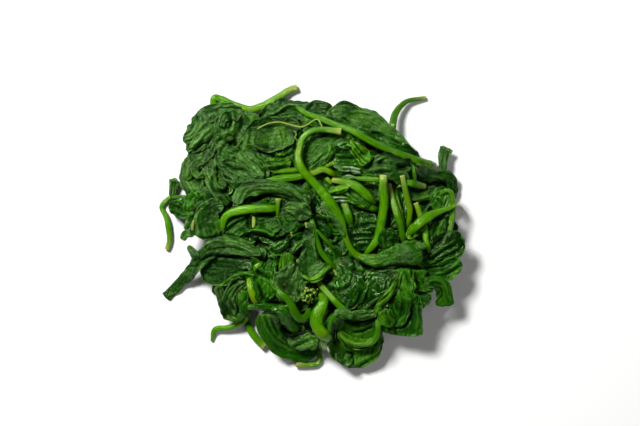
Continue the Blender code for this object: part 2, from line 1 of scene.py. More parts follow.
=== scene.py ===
# Blanched spinach: wet limp leaves and bright cut stems, laid one over another in a low heap.
# Every piece settles on the tops of the pieces below it, and draws its noise from its number in its
# list, so the order of the lists matters.
import json
import math

import bpy
import numpy as np
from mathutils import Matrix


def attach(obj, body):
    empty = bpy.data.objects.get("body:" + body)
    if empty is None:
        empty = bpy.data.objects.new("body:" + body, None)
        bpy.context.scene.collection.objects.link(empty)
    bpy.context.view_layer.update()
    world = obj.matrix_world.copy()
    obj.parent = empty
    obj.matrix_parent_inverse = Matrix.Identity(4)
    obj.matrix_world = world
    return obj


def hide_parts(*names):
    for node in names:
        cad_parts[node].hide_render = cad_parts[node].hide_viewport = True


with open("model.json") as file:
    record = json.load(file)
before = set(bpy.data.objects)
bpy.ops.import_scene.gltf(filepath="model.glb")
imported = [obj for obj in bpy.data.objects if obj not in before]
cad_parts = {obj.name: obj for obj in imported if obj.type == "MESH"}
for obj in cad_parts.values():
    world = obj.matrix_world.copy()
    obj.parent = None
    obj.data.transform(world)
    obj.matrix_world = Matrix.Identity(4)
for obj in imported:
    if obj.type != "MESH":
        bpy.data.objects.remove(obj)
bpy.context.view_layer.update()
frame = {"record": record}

plan = {
    "mm": 0.001,
    "pixel": 0.5,                # millimetres for one pixel of the photograph
    "middle": (312.5, 227.0),    # pixel that the part's own drawing measures from
    "coreCentre": (4.0, -3.0),   # millimetres from that pixel to the middle of the core
    "loose": 9.0,                # millimetres over the floor below which nothing is pressed
    "pressed": 0.755,            # what is left of the height above that
    "mapHalf": 95.0,             # millimetres from the middle of a height map to its side
    "heapCell": 0.5,             # millimetres to a cell of the map that pieces settle on
    "creaseCell": 0.25,          # and of the map of creases
    "noiseWaves": 7,             # sine waves that are added up for a noise
    "noisePitch": (0.6, 1.6),    # their slowest and quickest pitch
    "noiseSpread": 1.6,          # what brings their sum to about -1 to 1
}
restingSpot = frame["record"]["mounts"][0]["pos_m"]
shiftX = restingSpot[0] / plan["mm"] - plan["coreCentre"][0]
shiftY = restingSpot[1] / plan["mm"] - plan["coreCentre"][1]


def toMillimetres(points):
    p = np.array(points, float)
    return np.column_stack(((p[:, 0] - plan["middle"][0]) * plan["pixel"] + shiftX,
                            (plan["middle"][1] - p[:, 1]) * plan["pixel"] + shiftY))


# smooth seeded noise, about -1 to 1, from a few sine waves
def waves(seed, x, y=0.0):
    rng = np.random.default_rng(seed)
    total = 0
    for _ in range(plan["noiseWaves"]):
        turn = rng.uniform(0, 2 * math.pi)
        pitch = rng.uniform(*plan["noisePitch"])
        phase = rng.uniform(0, 2 * math.pi)
        total = total + np.sin((np.cos(turn) * x + np.sin(turn) * y) * pitch + phase)
    return total / math.sqrt(plan["noiseWaves"] * plan["noiseSpread"])


# smooth step from b to c, with slopes that its neighbours a and d give
def glide(a, b, c, d, u):
    return 0.5 * (2 * b + (c - a) * u + (2 * a - 5 * b + 4 * c - d) * u ** 2
                  + (3 * b - a - 3 * c + d) * u ** 3)


# smooth curve through evenly spaced values
def softRead(values, at):
    v = np.array([2 * values[0] - values[1], *values, 2 * values[-1] - values[-2]], float)
    place = np.clip(at, 0, 1) * (len(values) - 1)
    i = np.minimum(place.astype(int), len(values) - 2)
    return glide(v[i], v[i + 1], v[i + 2], v[i + 3], place - i)


# evenly spaced points on a smooth curve through the given ones, and its length
def smoothLine(points, step, least, finer=24):
    ends = np.vstack((2 * points[0] - points[1], points, 2 * points[-1] - points[-2]))
    dense = []
    for a, b, c, d in zip(ends, ends[1:], ends[2:], ends[3:]):
        for u in np.linspace(0, 1, finer, endpoint=False):
            dense.append(glide(a, b, c, d, u))
    dense = np.array(dense + [points[-1]])
    run = np.concatenate(([0], np.cumsum(np.linalg.norm(np.diff(dense, axis=0), axis=1))))
    count = max(least, round(run[-1] / step))
    at = np.linspace(0, run[-1], count + 1)
    line = np.column_stack((np.interp(at, run, dense[:, 0]), np.interp(at, run, dense[:, 1])))
    return line, run[-1]


# direction of a line at each of its points, with length 1
def directions(line):
    way = np.gradient(line, axis=0)
    return way / np.linalg.norm(way, axis=1)[:, None]


# map of the highest point of everything laid so far, in millimetres over the floor
class Heap:
    def __init__(self):
        self.cell = plan["heapCell"]
        self.half = plan["mapHalf"]
        side = round(2 * self.half / self.cell)
        self.tops = np.zeros((side, side))

    def cells(self, x, y):
        i = np.rint((x + self.half) / self.cell).astype(int)
        j = np.rint((y + self.half) / self.cell).astype(int)
        return i, j

    def add(self, points):
        flat = points.reshape(-1, 3)
        i, j = self.cells(flat[:, 0], flat[:, 1])
        np.maximum.at(self.tops, (i, j), flat[:, 2])

    def read(self, x, y, reach=1):
        i, j = self.cells(x, y)
        best = np.zeros(np.shape(x))
        for di in range(-reach, reach + 1):
            for dj in range(-reach, reach + 1):
                best = np.maximum(best, self.tops[i + di, j + dj])
        return best


settling = {
    "fewestRows": 8,        # a grid with fewer is settled at once, a larger one from a coarser copy
    "sheetRounds": 36,
    "firstRounds": 120,
    "lineRounds": 400,
    "smoothRounds": 6,
}


# lowest sheet over the given heights that hangs no deeper than its sag lets it
def settleSheet(low, spacing, sag):
    rows, cols = low.shape
    if min(rows, cols) > settling["fewestRows"]:
        padded = np.pad(low, ((0, rows % 2), (0, cols % 2)), mode="edge")
        pairs = padded.reshape(padded.shape[0] // 2, 2, padded.shape[1] // 2, 2)
        coarse = settleSheet(pairs.max(axis=(1, 3)), spacing * 2, sag)
        r = np.clip((np.arange(rows) - 0.5) / 2, 0, coarse.shape[0] - 1)
        c = np.clip((np.arange(cols) - 0.5) / 2, 0, coarse.shape[1] - 1)
        half = np.array([np.interp(c, range(coarse.shape[1]), row) for row in coarse])
        z = np.array([np.interp(r, range(coarse.shape[0]), col) for col in half.T]).T
        rounds = settling["sheetRounds"]
    else:
        z = low.copy()
        rounds = settling["firstRounds"]
    z = np.maximum(low, z)
    for _ in range(rounds):
        g = np.pad(z, 1, mode="edge")
        mean = (g[:-2, 1:-1] + g[2:, 1:-1] + g[1:-1, :-2] + g[1:-1, 2:]) / 4
        z = np.maximum(low, mean - sag * spacing ** 2 / 4)
    return z


# lowest line over the given heights, made smooth
def settleLine(low, spacing, sag):
    z = low.copy()
    for _ in range(settling["lineRounds"]):
        g = np.concatenate(([2 * z[0] - z[1]], z, [2 * z[-1] - z[-2]]))
        z = np.maximum(low, (g[:-2] + g[2:]) / 2 - sag * spacing ** 2 / 2)
    for _ in range(settling["smoothRounds"]):
        z[1:-1] = (z[:-2] + 2 * z[1:-1] + z[2:]) / 4
        z = np.maximum(low, z)
    return z


# creases and gaps traced along the heap: height in millimetres (below zero is a gap), half width in
# pixels, then the pixels that the line runs through. The leaves' material also paints shade into the gaps
# and a highlight along the raised creases
creaseLines = [
    (1.2, 2.2, [(215, 113), (205, 117), (198, 125), (192, 134), (186, 140)]),
    (1.0, 2.0, [(222, 113), (215, 120), (207, 122), (200, 127), (194, 137)]),
    (1.2, 1.8, [(212, 128), (206, 132), (200, 139), (195, 145), (190, 150)]),
    (-1.8, 1.4, [(191, 152), (200, 146), (206, 141)]),
    (-2.2, 1.5, [(228, 112), (231, 118), (230, 126), (226, 129), (220, 128)]),
    (1.2, 1.5, [(232, 112), (234, 120), (232, 130), (227, 134), (223, 140)]),
    (-1.6, 1.4, [(230, 136), (234, 137), (237, 134)]),
    (1.0, 1.8, [(247, 114), (251, 119), (252, 124)]),
    (1.2, 1.8, [(248, 133), (247, 140), (245, 148), (243, 153)]),
    (1.6, 1.4, [(255, 136), (253, 141), (255, 146), (261, 149), (268, 151), (276, 154), (284, 155),
                (290, 151), (293, 145), (294, 137)]),
    (-2.4, 1.5, [(250, 146), (254, 151), (262, 153), (270, 156), (280, 158), (290, 155)]),
    (0.8, 1.3, [(277, 128), (280, 136), (282, 145)]),
    (0.8, 1.3, [(284, 128), (285, 140)]),
    (1.2, 1.8, [(204, 152), (200, 158), (196, 164)]),
    (1.2, 1.8, [(190, 158), (188, 168), (187, 178)]),
    (1.2, 1.8, [(205, 160), (207, 168), (210, 176), (212, 184)]),
    (1.2, 1.3, [(201, 164), (203, 168), (202, 173), (198, 177), (194, 175)]),
    (-2.0, 1.6, [(197, 169), (198.5, 171.5)]),
    (1.1, 1.7, [(188, 180), (190, 187), (195, 193), (200, 198)]),
    (1.1, 1.7, [(197, 187), (201, 193), (204, 198)]),
    (1.1, 1.7, [(204, 193), (207, 200), (210, 207)]),
    (1.1, 1.7, [(206, 182), (210, 189), (214, 195), (219, 201)]),
    (-3.2, 2.4, [(222.5, 191), (225, 193.5)]),
    (-2.0, 1.5, [(214, 177), (213, 184), (216, 190), (222, 193), (228, 190)]),
    (-1.8, 1.4, [(223, 163), (229, 167), (235, 170), (247, 171)]),
    (-1.8, 1.4, [(236, 189), (244, 185), (255, 183)]),
    (1.4, 1.5, [(240, 158), (250, 166), (256, 170), (266, 178)]),
    (-1.6, 1.3, [(253, 161), (258, 166), (264, 171), (266, 175)]),
    (1.0, 1.4, [(233, 159), (235, 165), (236, 169)]),
    (1.0, 1.3, [(238, 206), (239, 197), (244, 190), (252, 187), (265, 185.5), (281, 186)]),
    (0.9, 1.2, [(243, 205), (245, 196), (250, 190.5), (258, 189), (272, 189), (284, 190)]),
    (-3.4, 2.4, [(250, 200), (258, 199), (262, 196.5), (272, 195), (284, 196), (294, 200)]),
    (-3.4, 2.4, [(249.5, 214), (249.5, 220), (250, 227)]),
    (-3.2, 2.4, [(258, 214), (266, 214), (276, 216)]),
    (-2.6, 1.9, [(302, 129), (299, 134), (298, 141)]),
    (-2.8, 2.0, [(312, 137), (316, 135), (322, 135.5), (328, 136.5)]),
    (0.9, 1.4, [(322, 152), (318, 158), (312, 164)]),
    (0.9, 1.4, [(331, 143), (329, 152), (326, 158), (322, 164)]),
    (-2.8, 2.2, [(334, 150), (342, 152), (351, 151)]),
    (-2.8, 1.8, [(336, 154), (331, 162), (326, 166)]),
    (1.0, 1.3, [(336, 147), (343, 143.5), (350, 143)]),
    (1.0, 1.6, [(341, 131), (347, 134), (351, 140)]),
    (0.9, 1.2, [(334, 155), (344, 156), (352, 157)]),
    (0.9, 1.1, [(340, 161), (352, 161.5), (363, 162)]),
    (1.0, 1.0, [(341, 164.5), (352, 165), (362, 166)]),
    (1.2, 1.0, [(342, 168), (348, 168), (362, 170)]),
    (1.2, 1.0, [(344, 172), (352, 171.5), (359, 173.5)]),
    (1.0, 1.0, [(343, 177), (348, 176), (355, 178)]),
    (-1.4, 1.0, [(342, 170), (352, 170), (360, 171.6)]),
    (-1.6, 1.2, [(336, 159), (344, 158.5), (358, 159.5)]),
    (-3.6, 2.6, [(354, 139), (364, 145), (376, 151), (388, 155), (400, 158.5), (412, 163)]),
    (-1.8, 1.5, [(342, 117), (347, 121), (353, 125)]),
    (-2.6, 1.3, [(372, 133.5), (378, 134), (386, 137), (396, 142), (403, 145.5)]),
    (0.9, 1.6, [(352, 111.5), (362, 112), (372, 116), (381, 122)]),
    (-0.9, 1.2, [(352, 114.5), (362, 114.5), (371, 117)]),
    (0.9, 1.5, [(370, 129), (380, 131), (392, 136), (404, 142)]),
    (1.0, 1.4, [(374, 138), (384, 140), (394, 145)]),
    (1.2, 1.3, [(373, 164), (376, 161), (382, 158), (390, 156.5), (399, 158)]),
    (-2.2, 1.6, [(377, 165), (381, 163), (383, 166)]),
    (1.0, 1.6, [(370, 171), (380, 168.5), (391, 170)]),
    (-1.6, 1.2, [(371, 174), (382, 173), (390, 173)]),
    (-3.6, 2.6, [(395, 169), (400, 168.5), (406, 168)]),
    (-2.6, 1.6, [(312, 178.5), (320, 174.5), (328, 175), (335, 178.5)]),
    (-1.8, 1.2, [(328, 189), (336, 186), (346, 185)]),
    (1.4, 1.3, [(330, 192), (338, 190.5), (346, 188)]),
    (-2.8, 1.6, [(331, 195), (337, 195.5), (345, 194.5)]),
    (1.0, 1.0, [(333, 198), (340, 197.5), (346, 198)]),
    (1.0, 1.0, [(335, 201.5), (340, 201), (346, 201.5)]),
    (-2.6, 2.0, [(322, 177), (323, 182), (325, 187)]),
    (-2.4, 1.6, [(308, 181), (312, 186), (314, 190)]),
    (-2.8, 2.0, [(284, 180.5), (294, 181.5), (304, 181.5)]),
    (1.1, 1.5, [(287, 186), (295, 191), (302, 198), (308, 205)]),
    (1.1, 1.5, [(297, 183), (303, 190), (308, 196), (316, 201)]),
    (-1.8, 1.4, [(287, 191), (294, 196), (300, 202)]),
    (1.0, 1.3, [(428, 176), (436, 177), (445, 180)]),
    (-2.8, 1.6, [(424, 186), (430, 184.5), (436, 182), (444, 183), (447, 186)]),
    (-3.0, 1.8, [(408, 190.5), (417, 191), (427, 188)]),
    (1.2, 1.2, [(409, 200.5), (418, 199), (428, 196.5), (433, 193)]),
    (-3.6, 3.0, [(420, 204), (427, 203), (424, 208)]),
    (0.9, 1.1, [(434, 196), (440, 198.5), (446, 204)]),
    (0.9, 1.1, [(434, 198), (437, 203), (441, 208)]),
    (1.1, 1.2, [(434, 194), (439, 191.5), (446, 191)]),
    (-1.4, 1.0, [(434, 200), (438, 200), (444, 208)]),
    (-2.4, 1.8, [(430, 221), (440, 217.5), (448, 213)]),
    (1.0, 1.6, [(430, 240), (430, 232), (433, 224), (438, 219)]),
    (1.0, 1.4, [(436, 238), (438, 230), (442, 222)]),
    (-1.6, 1.2, [(433, 240), (434, 231), (438, 222)]),
    (-2.8, 1.8, [(447, 217), (447, 228), (442, 237), (435, 244), (429, 250)]),
    (-2.2, 1.2, [(409, 233), (413, 238), (418, 241), (424, 242)]),
    (-2.6, 1.8, [(420, 232), (421, 236)]),
    (-3.0, 1.5, [(387.6, 197), (388, 208), (388, 218), (387, 226), (385, 231)]),
    (-2.2, 1.4, [(399, 196), (400.5, 204), (403, 212)]),
    (1.1, 1.1, [(357, 214), (364, 212), (372, 215)]),
    (1.1, 1.2, [(360, 223), (368, 220.5), (376, 222)]),
    (1.1, 1.1, [(364, 229), (372, 226.5), (378, 227)]),
    (1.1, 1.2, [(352, 246), (360, 243), (370, 242)]),
    (1.0, 1.1, [(353, 240), (362, 238), (373, 238)]),
    (1.0, 1.1, [(352, 234), (360, 232), (372, 233)]),
    (-1.6, 1.1, [(354, 237), (364, 235.5), (374, 235.5)]),
    (-1.6, 1.1, [(353, 229), (362, 226), (370, 224)]),
    (-3.0, 1.7, [(354, 208.5), (362, 210), (372, 213)]),
    (-3.0, 1.8, [(353, 213), (352, 220), (346, 225)]),
    (0.9, 1.1, [(385, 231), (388, 236), (392, 240)]),
    (0.9, 1.1, [(390, 232), (393, 237), (396, 238)]),
    (0.9, 1.1, [(382, 236), (383, 243), (385, 250)]),
    (0.9, 1.1, [(388, 242), (391, 246), (388, 250)]),
    (-2.2, 1.2, [(380, 242), (381, 247), (384, 251)]),
    (-3.6, 2.0, [(352, 257), (362, 263.5), (370, 268), (380, 267.5), (394, 265.5), (406, 266), (418, 266)]),
    (-3.2, 2.2, [(421, 250), (424, 253), (426, 251)]),
    (1.2, 1.3, [(304, 196), (308, 202), (313, 207)]),
    (1.2, 1.3, [(301, 205), (304, 211), (310, 214), (319, 215), (331, 218)]),
    (-2.4, 1.5, [(306, 206), (310, 210), (317, 211)]),
    (-2.8, 1.6, [(318, 219), (326, 222), (334, 223.5)]),
    (-4.0, 3.4, [(300, 229), (305, 230), (309, 232)]),
    (-2.8, 1.5, [(290, 240), (291, 245), (287, 250), (281, 253), (274, 251), (271, 246)]),
    (1.0, 1.2, [(275, 246), (279, 243), (284, 240)]),
    (1.0, 1.2, [(279, 248), (284, 245), (287, 241)]),
    (-3.0, 2.0, [(292, 238), (298, 240), (304, 238.5)]),
    (1.2, 1.3, [(291, 253), (296, 245), (301, 241), (305, 240)]),
    (-3.2, 2.0, [(297, 256), (300, 251), (304, 247.5)]),
    (-2.8, 1.6, [(296, 257), (296.5, 263), (301, 267)]),
    (1.0, 1.3, [(313, 244), (315.5, 251), (315.5, 259)]),
    (-3.4, 2.2, [(318.5, 248), (319.5, 255), (321, 261)]),
    (1.3, 1.5, [(330, 240), (334, 241), (338, 237.5)]),
    (-2.0, 1.4, [(327, 245), (334, 244), (341, 241)]),
    (-4.0, 3.0, [(324, 278), (328, 273), (332, 272), (328, 280)]),
    (1.5, 1.2, [(300, 273), (307, 277.5), (315, 278), (323, 273.5), (329, 266)]),
    (0.9, 1.1, [(338, 262), (343, 266), (346, 271), (343, 277)]),
    (0.9, 1.1, [(338, 267), (341, 271), (340, 276)]),
    (-2.6, 1.6, [(352, 259), (356, 265), (353, 273), (350, 281)]),
    (1.0, 1.2, [(265, 256), (272, 257), (281, 257)]),
    (1.1, 1.4, [(283, 256), (284, 264), (286, 272)]),
    (1.1, 1.3, [(290, 258), (291, 265), (290, 272)]),
    (-1.8, 1.3, [(297, 264), (295, 270), (292, 275)]),
    (1.1, 1.0, [(262, 262), (263, 268), (266, 271.5), (271, 271), (272, 276)]),
    (-2.6, 1.5, [(258, 267), (260, 272), (266, 276), (271, 279)]),
    (-2.8, 1.5, [(229, 288), (235, 282), (242, 279), (250, 281)]),
    (1.2, 1.5, [(232, 295), (234, 302), (236, 309), (234, 316)]),
    (1.1, 1.4, [(228, 300), (230, 308), (234, 315)]),
    (-1.8, 1.3, [(237, 298), (239, 305), (238, 314)]),
    (-3.0, 1.9, [(259, 284), (262, 292), (264, 300)]),
    (1.3, 1.2, [(266, 295), (276, 299), (288, 299.5), (298, 299), (303, 292)]),
    (-2.6, 1.4, [(266, 301), (280, 303), (290, 302.5)]),
    (-3.2, 2.0, [(250, 311), (262, 311), (272, 312), (279, 315)]),
    (-4.0, 3.6, [(282, 327), (287, 334), (294, 337), (300, 334)]),
    (1.2, 1.3, [(263, 316), (266, 326), (272, 336), (282, 346), (293, 352)]),
    (1.2, 1.2, [(269, 316), (272, 326), (277, 335), (287, 344)]),
    (1.1, 1.2, [(275, 318), (278, 328), (282, 338)]),
    (-1.4, 1.0, [(266, 317), (269, 327), (275, 337), (285, 347)]),
    (-1.4, 1.0, [(272, 317), (275, 327), (280, 337)]),
    (1.0, 1.3, [(290, 345), (298, 341), (308, 337), (316, 334)]),
    (1.0, 1.3, [(296, 353), (304, 348), (313, 346)]),
    (-1.6, 1.2, [(292, 349), (300, 345), (310, 341)]),
    (-2.6, 1.6, [(300, 322), (306, 324), (313, 322)]),
    (1.2, 1.2, [(329, 284), (338, 286), (347, 281), (353, 272), (357, 264)]),
    (0.9, 1.3, [(332, 292), (340, 298), (346, 303)]),
    (-2.0, 1.3, [(330, 288), (340, 290), (350, 285), (356, 276)]),
    (-3.0, 1.8, [(360, 289), (359, 297), (355, 304), (348, 308.5)]),
    (1.0, 1.2, [(361, 275), (370, 272), (383, 274)]),
    (1.1, 1.2, [(364, 308), (376, 298), (387, 290), (393, 281)]),
    (-1.6, 1.1, [(371, 306), (380, 299), (389, 291.5)]),
    (-3.0, 1.9, [(380, 307), (387, 301), (393, 293), (397, 284)]),
    (1.1, 1.2, [(400, 284), (404, 292), (405.5, 302), (404, 314), (398, 322)]),
    (1.0, 1.2, [(396, 290), (399, 300), (398, 313)]),
    (-1.2, 1.0, [(398, 286), (402, 296), (402, 312)]),
    (-2.4, 1.3, [(411, 295), (411, 306), (409, 317), (403, 325), (395, 326)]),
    (1.5, 1.4, [(388, 330), (398, 329), (406, 326), (411, 320)]),
    (1.2, 1.5, [(413, 298), (416, 310), (417, 321), (415, 331)]),
    (-3.8, 2.4, [(344, 319), (352, 322.5), (362, 322), (373, 319)]),
    (-2.4, 1.3, [(352, 332), (362, 331), (373, 326)]),
    (1.3, 1.2, [(353, 329.5), (362, 327.5), (372, 322.5)]),
    (1.8, 1.6, [(337, 311), (331, 319), (329, 332), (328, 344), (330, 356), (337, 364)]),
    (1.6, 1.8, [(339, 331), (344, 338), (354, 343), (366, 343.5), (375, 339)]),
    (-2.2, 1.2, [(340, 338), (346, 344.5), (356, 348), (366, 347.5), (377, 342)]),
    (1.2, 1.3, [(340, 342), (346, 349), (354, 353)]),
    (1.8, 2.2, [(346, 366), (356, 364), (367, 359), (376, 352), (380, 341)]),
    (-2.6, 1.8, [(347, 352), (353, 355), (350, 360)]),
    (1.2, 1.3, [(335, 352), (337, 358), (342, 363)]),
    (-2.4, 1.4, [(335, 322), (334, 334), (334, 346)]),
    (1.1, 1.3, [(226, 228), (234, 222), (246, 216)]),
    (-1.8, 1.1, [(226, 232), (236, 224), (246, 219), (249, 214)]),
    (0.9, 1.2, [(227, 234), (236, 230), (244, 226)]),
    (-2.2, 1.2, [(200, 238.5), (212, 237.5), (222, 234), (230, 235), (240, 239.5)]),
    (1.1, 1.2, [(200, 247), (214, 240.5), (228, 240.5), (242, 243), (254, 249)]),
    (1.0, 1.2, [(224, 243), (236, 244.5), (248, 249), (258, 256)]),
    (-1.8, 1.1, [(208, 251), (220, 248), (234, 247.5), (246, 251)]),
    (1.0, 1.1, [(216, 253), (230, 252.5), (246, 255), (258, 258)]),
    (-3.0, 1.7, [(200, 262), (210, 256), (220, 255.5), (236, 257), (252, 258.5)]),
    (1.5, 1.5, [(206, 262), (201, 268), (201, 277), (204, 283), (211, 286), (220, 285.5), (228, 280),
                (236, 275), (246, 273), (258, 275)]),
    (1.6, 1.2, [(247, 232), (256, 229.5), (266, 231.5), (277, 236), (288, 232), (296, 226)]),
    (-3.4, 2.0, [(245, 237), (254, 233.5), (264, 235), (276, 239.5), (288, 236)]),
    (0.9, 1.1, [(276, 214), (279, 220), (281, 227)]),
    (0.9, 1.1, [(281, 215), (285, 220), (289, 225)]),
    (1.2, 1.3, [(188, 248), (193, 252), (198, 257)]),
    (-1.8, 1.2, [(188, 266), (195, 266.5), (201, 264)]),
    (1.1, 1.4, [(190, 258), (186, 265), (186, 270)]),
    (1.1, 1.3, [(428, 257), (440, 248), (455, 239)]),
    (1.1, 1.3, [(431, 262), (444, 253.5), (459, 246)]),
    (1.1, 1.3, [(437, 265), (449, 258), (461, 252.5)]),
    (-1.5, 1.1, [(429, 260), (442, 251), (457, 243)]),
    (-1.5, 1.1, [(434, 264), (446, 256), (460, 249.5)]),
    (1.5, 1.3, [(461, 236), (465, 246), (462, 256), (455, 264), (446, 269)]),
    (-2.2, 1.3, [(406, 266), (416, 268), (430, 267), (444, 266)]),
    (1.1, 1.3, [(407, 268), (409, 278), (416, 286)]),
    (1.0, 1.2, [(412, 267), (415, 276), (422, 283)]),
    (1.0, 1.2, [(418, 268), (421, 275), (429, 280)]),
    (-1.3, 1.0, [(410, 268), (412, 277), (419, 284)]),
    (1.3, 1.2, [(410, 280), (417, 288.5), (425, 290.5), (430, 287)]),
    (-2.6, 1.5, [(412, 290), (419, 293), (428, 291)]),
    (1.2, 1.2, [(427, 281), (435, 279), (443, 284), (447, 292), (451, 302)]),
    (-1.4, 1.1, [(430, 283), (437, 284), (441, 291), (443, 301)]),
    (-2.0, 1.4, [(441, 276), (449, 273), (456, 268)]),
    (1.2, 1.5, [(196, 216), (198, 226), (200, 236)]),
    (-1.8, 1.4, [(203, 206), (196, 214), (193, 222)]),
    (1.0, 1.3, [(172, 203), (178, 200), (184, 206), (180, 212)]),
    (1.0, 1.3, [(186, 209), (192, 205), (199, 208)]),
    (-1.4, 1.2, [(176, 206), (183, 211), (192, 212)]),
    (1.0, 1.4, [(262, 162), (272, 160), (284, 158)]),
    (1.0, 1.3, [(262, 167), (274, 166), (286, 164)]),
    (-1.8, 1.2, [(262, 171), (276, 170), (290, 167)]),
    (1.0, 1.3, [(230, 120), (226, 132), (216, 140), (211, 150)]),
    (-1.4, 1.2, [(216, 134), (210, 140), (206, 150)]),
    (1.1, 1.3, [(222, 146), (216, 150), (215, 160), (220, 168)]),
    (-1.8, 1.2, [(228, 143), (222, 150), (221, 158)]),
    (1.0, 1.2, [(243, 128), (238, 138), (240, 148)]),
    (-1.6, 1.2, [(243, 140), (240, 150), (246, 156)]),
    (1.0, 1.3, [(214, 162), (218, 172), (226, 180), (236, 183)]),
    (-1.8, 1.2, [(216, 168), (222, 176), (232, 180)]),
    (-2.0, 1.6, [(329, 108), (331, 114), (333, 119)]),
    (-2.6, 1.8, [(352, 268), (358, 272), (366, 272)]),
    (-2.4, 1.8, [(299, 290), (300, 296), (299, 303)]),
    (-2.6, 1.6, [(289, 238), (293, 243), (292, 248)]),
    (-2.4, 1.8, [(384, 270), (390, 273), (396, 271)]),
    (-1.8, 2.5, [(294, 131), (297, 137), (295, 146)]),
    (-1.8, 2.2, [(241, 126), (239, 134), (236, 142)]),
    (-2.0, 2.4, [(291, 199), (298, 201), (304, 203)]),
    (-2.4, 2.2, [(407, 166), (413, 166), (419, 168)]),
    (-3.0, 2.2, [(433, 237), (437, 243), (440, 238)]),
    (-1.8, 2.2, [(192, 175), (196, 181), (201, 184)]),
    (-1.8, 2.0, [(403, 270), (406, 277), (409, 285)]),
    (1.0, 2.0, [(280, 276), (284, 283), (290, 290)]),
    (1.2, 1.3, [(300, 106), (290, 104), (282, 107), (276, 112), (266, 114)]),
    (-1.6, 1.2, [(298, 110), (288, 109), (280, 113), (270, 117)]),
]

creaseLook = {
    "step": 0.3,            # millimetres between the points of a crease
    "least": 6,             # fewest steps in one
    "reach": 3,             # half widths to the side after which a crease is gone
    "startFade": 0.5,       # millimetres that are added before its ends die out
    "fade": 2.0,
}


# all the creases as one map, so that a fold runs on through the leaves that lie on each other
class Creases:
    def __init__(self, lines):
        self.cell = plan["creaseCell"]
        self.half = plan["mapHalf"]
        side = round(2 * self.half / self.cell)
        self.map = np.zeros((side, side))
        for height, width, points in lines:
            self.draw(height, width * plan["pixel"], toMillimetres(points))

    def draw(self, height, width, points):
        line, length = smoothLine(points, creaseLook["step"], creaseLook["least"])
        reach = creaseLook["reach"] * width
        low = np.maximum(((line.min(axis=0) + self.half - reach) / self.cell).astype(int), 0)
        high = ((line.max(axis=0) + self.half + reach) / self.cell).astype(int) + 1
        x = np.arange(low[0], high[0]) * self.cell - self.half
        y = np.arange(low[1], high[1]) * self.cell - self.half
        best = np.zeros((len(x), len(y)))
        run = np.linspace(0, length, len(line))
        early = creaseLook["startFade"]
        fade = min(creaseLook["fade"], length / 3 + early)
        for (px, py), at in zip(line, run):
            ends = min(1.0, (min(at, length - at) + early) / fade)
            far = (x[:, None] - px) ** 2 + (y[None, :] - py) ** 2
            best = np.maximum(best, ends * np.exp(-far / width ** 2))
        self.map[low[0]:high[0], low[1]:high[1]] += height * best

    def read(self, x, y):
        i = (x + self.half) / self.cell
        j = (y + self.half) / self.cell
        i0 = np.floor(i).astype(int)
        j0 = np.floor(j).astype(int)
        u, w = i - i0, j - j0
        m = self.map
        return ((m[i0, j0] * (1 - u) + m[i0 + 1, j0] * u) * (1 - w)
                + (m[i0, j0 + 1] * (1 - u) + m[i0 + 1, j0 + 1] * u) * w)


print("creases")
creaseMap = Creases(creaseLines)


def meshObject(name, verts, faces, fields, material):
    # the weight of the heap presses its upper layers together
    verts = verts.copy()
    verts[:, 2] -= (1 - plan["pressed"]) * np.maximum(verts[:, 2] - plan["loose"], 0)
    data = bpy.data.meshes.new(name)
    data.from_pydata((verts * plan["mm"]).tolist(), [], faces)
    for field, values in fields.items():
        layer = data.attributes.new(field, "FLOAT", "POINT")
        layer.data.foreach_set("value", np.asarray(values, np.float32))
    data.materials.append(material)
    data.shade_smooth()
    piece = bpy.data.objects.new(name, data)
    bpy.context.scene.collection.objects.link(piece)
    return piece


# faces of a closed tube: bands between rings of points, and a cap at each end
def tubeFaces(rings, sides):
    ids = np.arange(rings * sides).reshape(rings, sides)
    after = np.roll(ids, -1, axis=1)
    bands = np.stack((ids[:-1], ids[1:], after[1:], after[:-1]), axis=-1).reshape(-1, 4)
    return bands.tolist() + [ids[0].tolist(), ids[-1][::-1].tolist()]


leafLook = {
    "step": 0.5,            # millimetres between points
    "columns": (12, 56),    # fewest and most points across
    "thickness": 0.42,
    "rimTaper": (0.35, 0.75),       # share of the thickness at the rim and one point in from it
    "ease": 1.06,           # blades are drawn this much wider than they were read
    "leastHalf": 0.6,       # pixels
    "leastSteps": 20,
    "endLength": 0.7,       # length of a rounded end, as a share of the half width
    "endBlunt": 0.16,       # square of the share of the half width that is left at the very end
    "gap": 0.10,
    "sag": 0.05,
    "spacing": 2.4,         # millimetres from fold to fold
    "foldHeight": 1.35,
    "foldShare": 0.45,      # highest fold, as a share of the half width
    "wrinkle": 0.36,
    "pucker": 0.05,
    "lumps": 0.40,
    "ruffle": 0.5,
    "outline": 0.17,        # how far the outline wanders, as a share of the half width
    "curl": 55,             # degrees that an ordinary margin turns up
    "curlRadius": 0.8,
    "curlShare": 0.35,      # largest curl radius, as a share of the half width
    "innerBend": 0.8,       # share of the bend's own radius that the inner side may take up
    "rootLength": 7,        # millimetres over which the root of an inner leaf rises
    "rimStart": 0.93,       # where the painted highlight along the rim begins, as a share of the half width
    "rimWidth": 0.07,
    "rimPale": 0.6,
    "leafTone": 0.3,        # how much lighter or darker a leaf may turn out that has no tone of its own
}


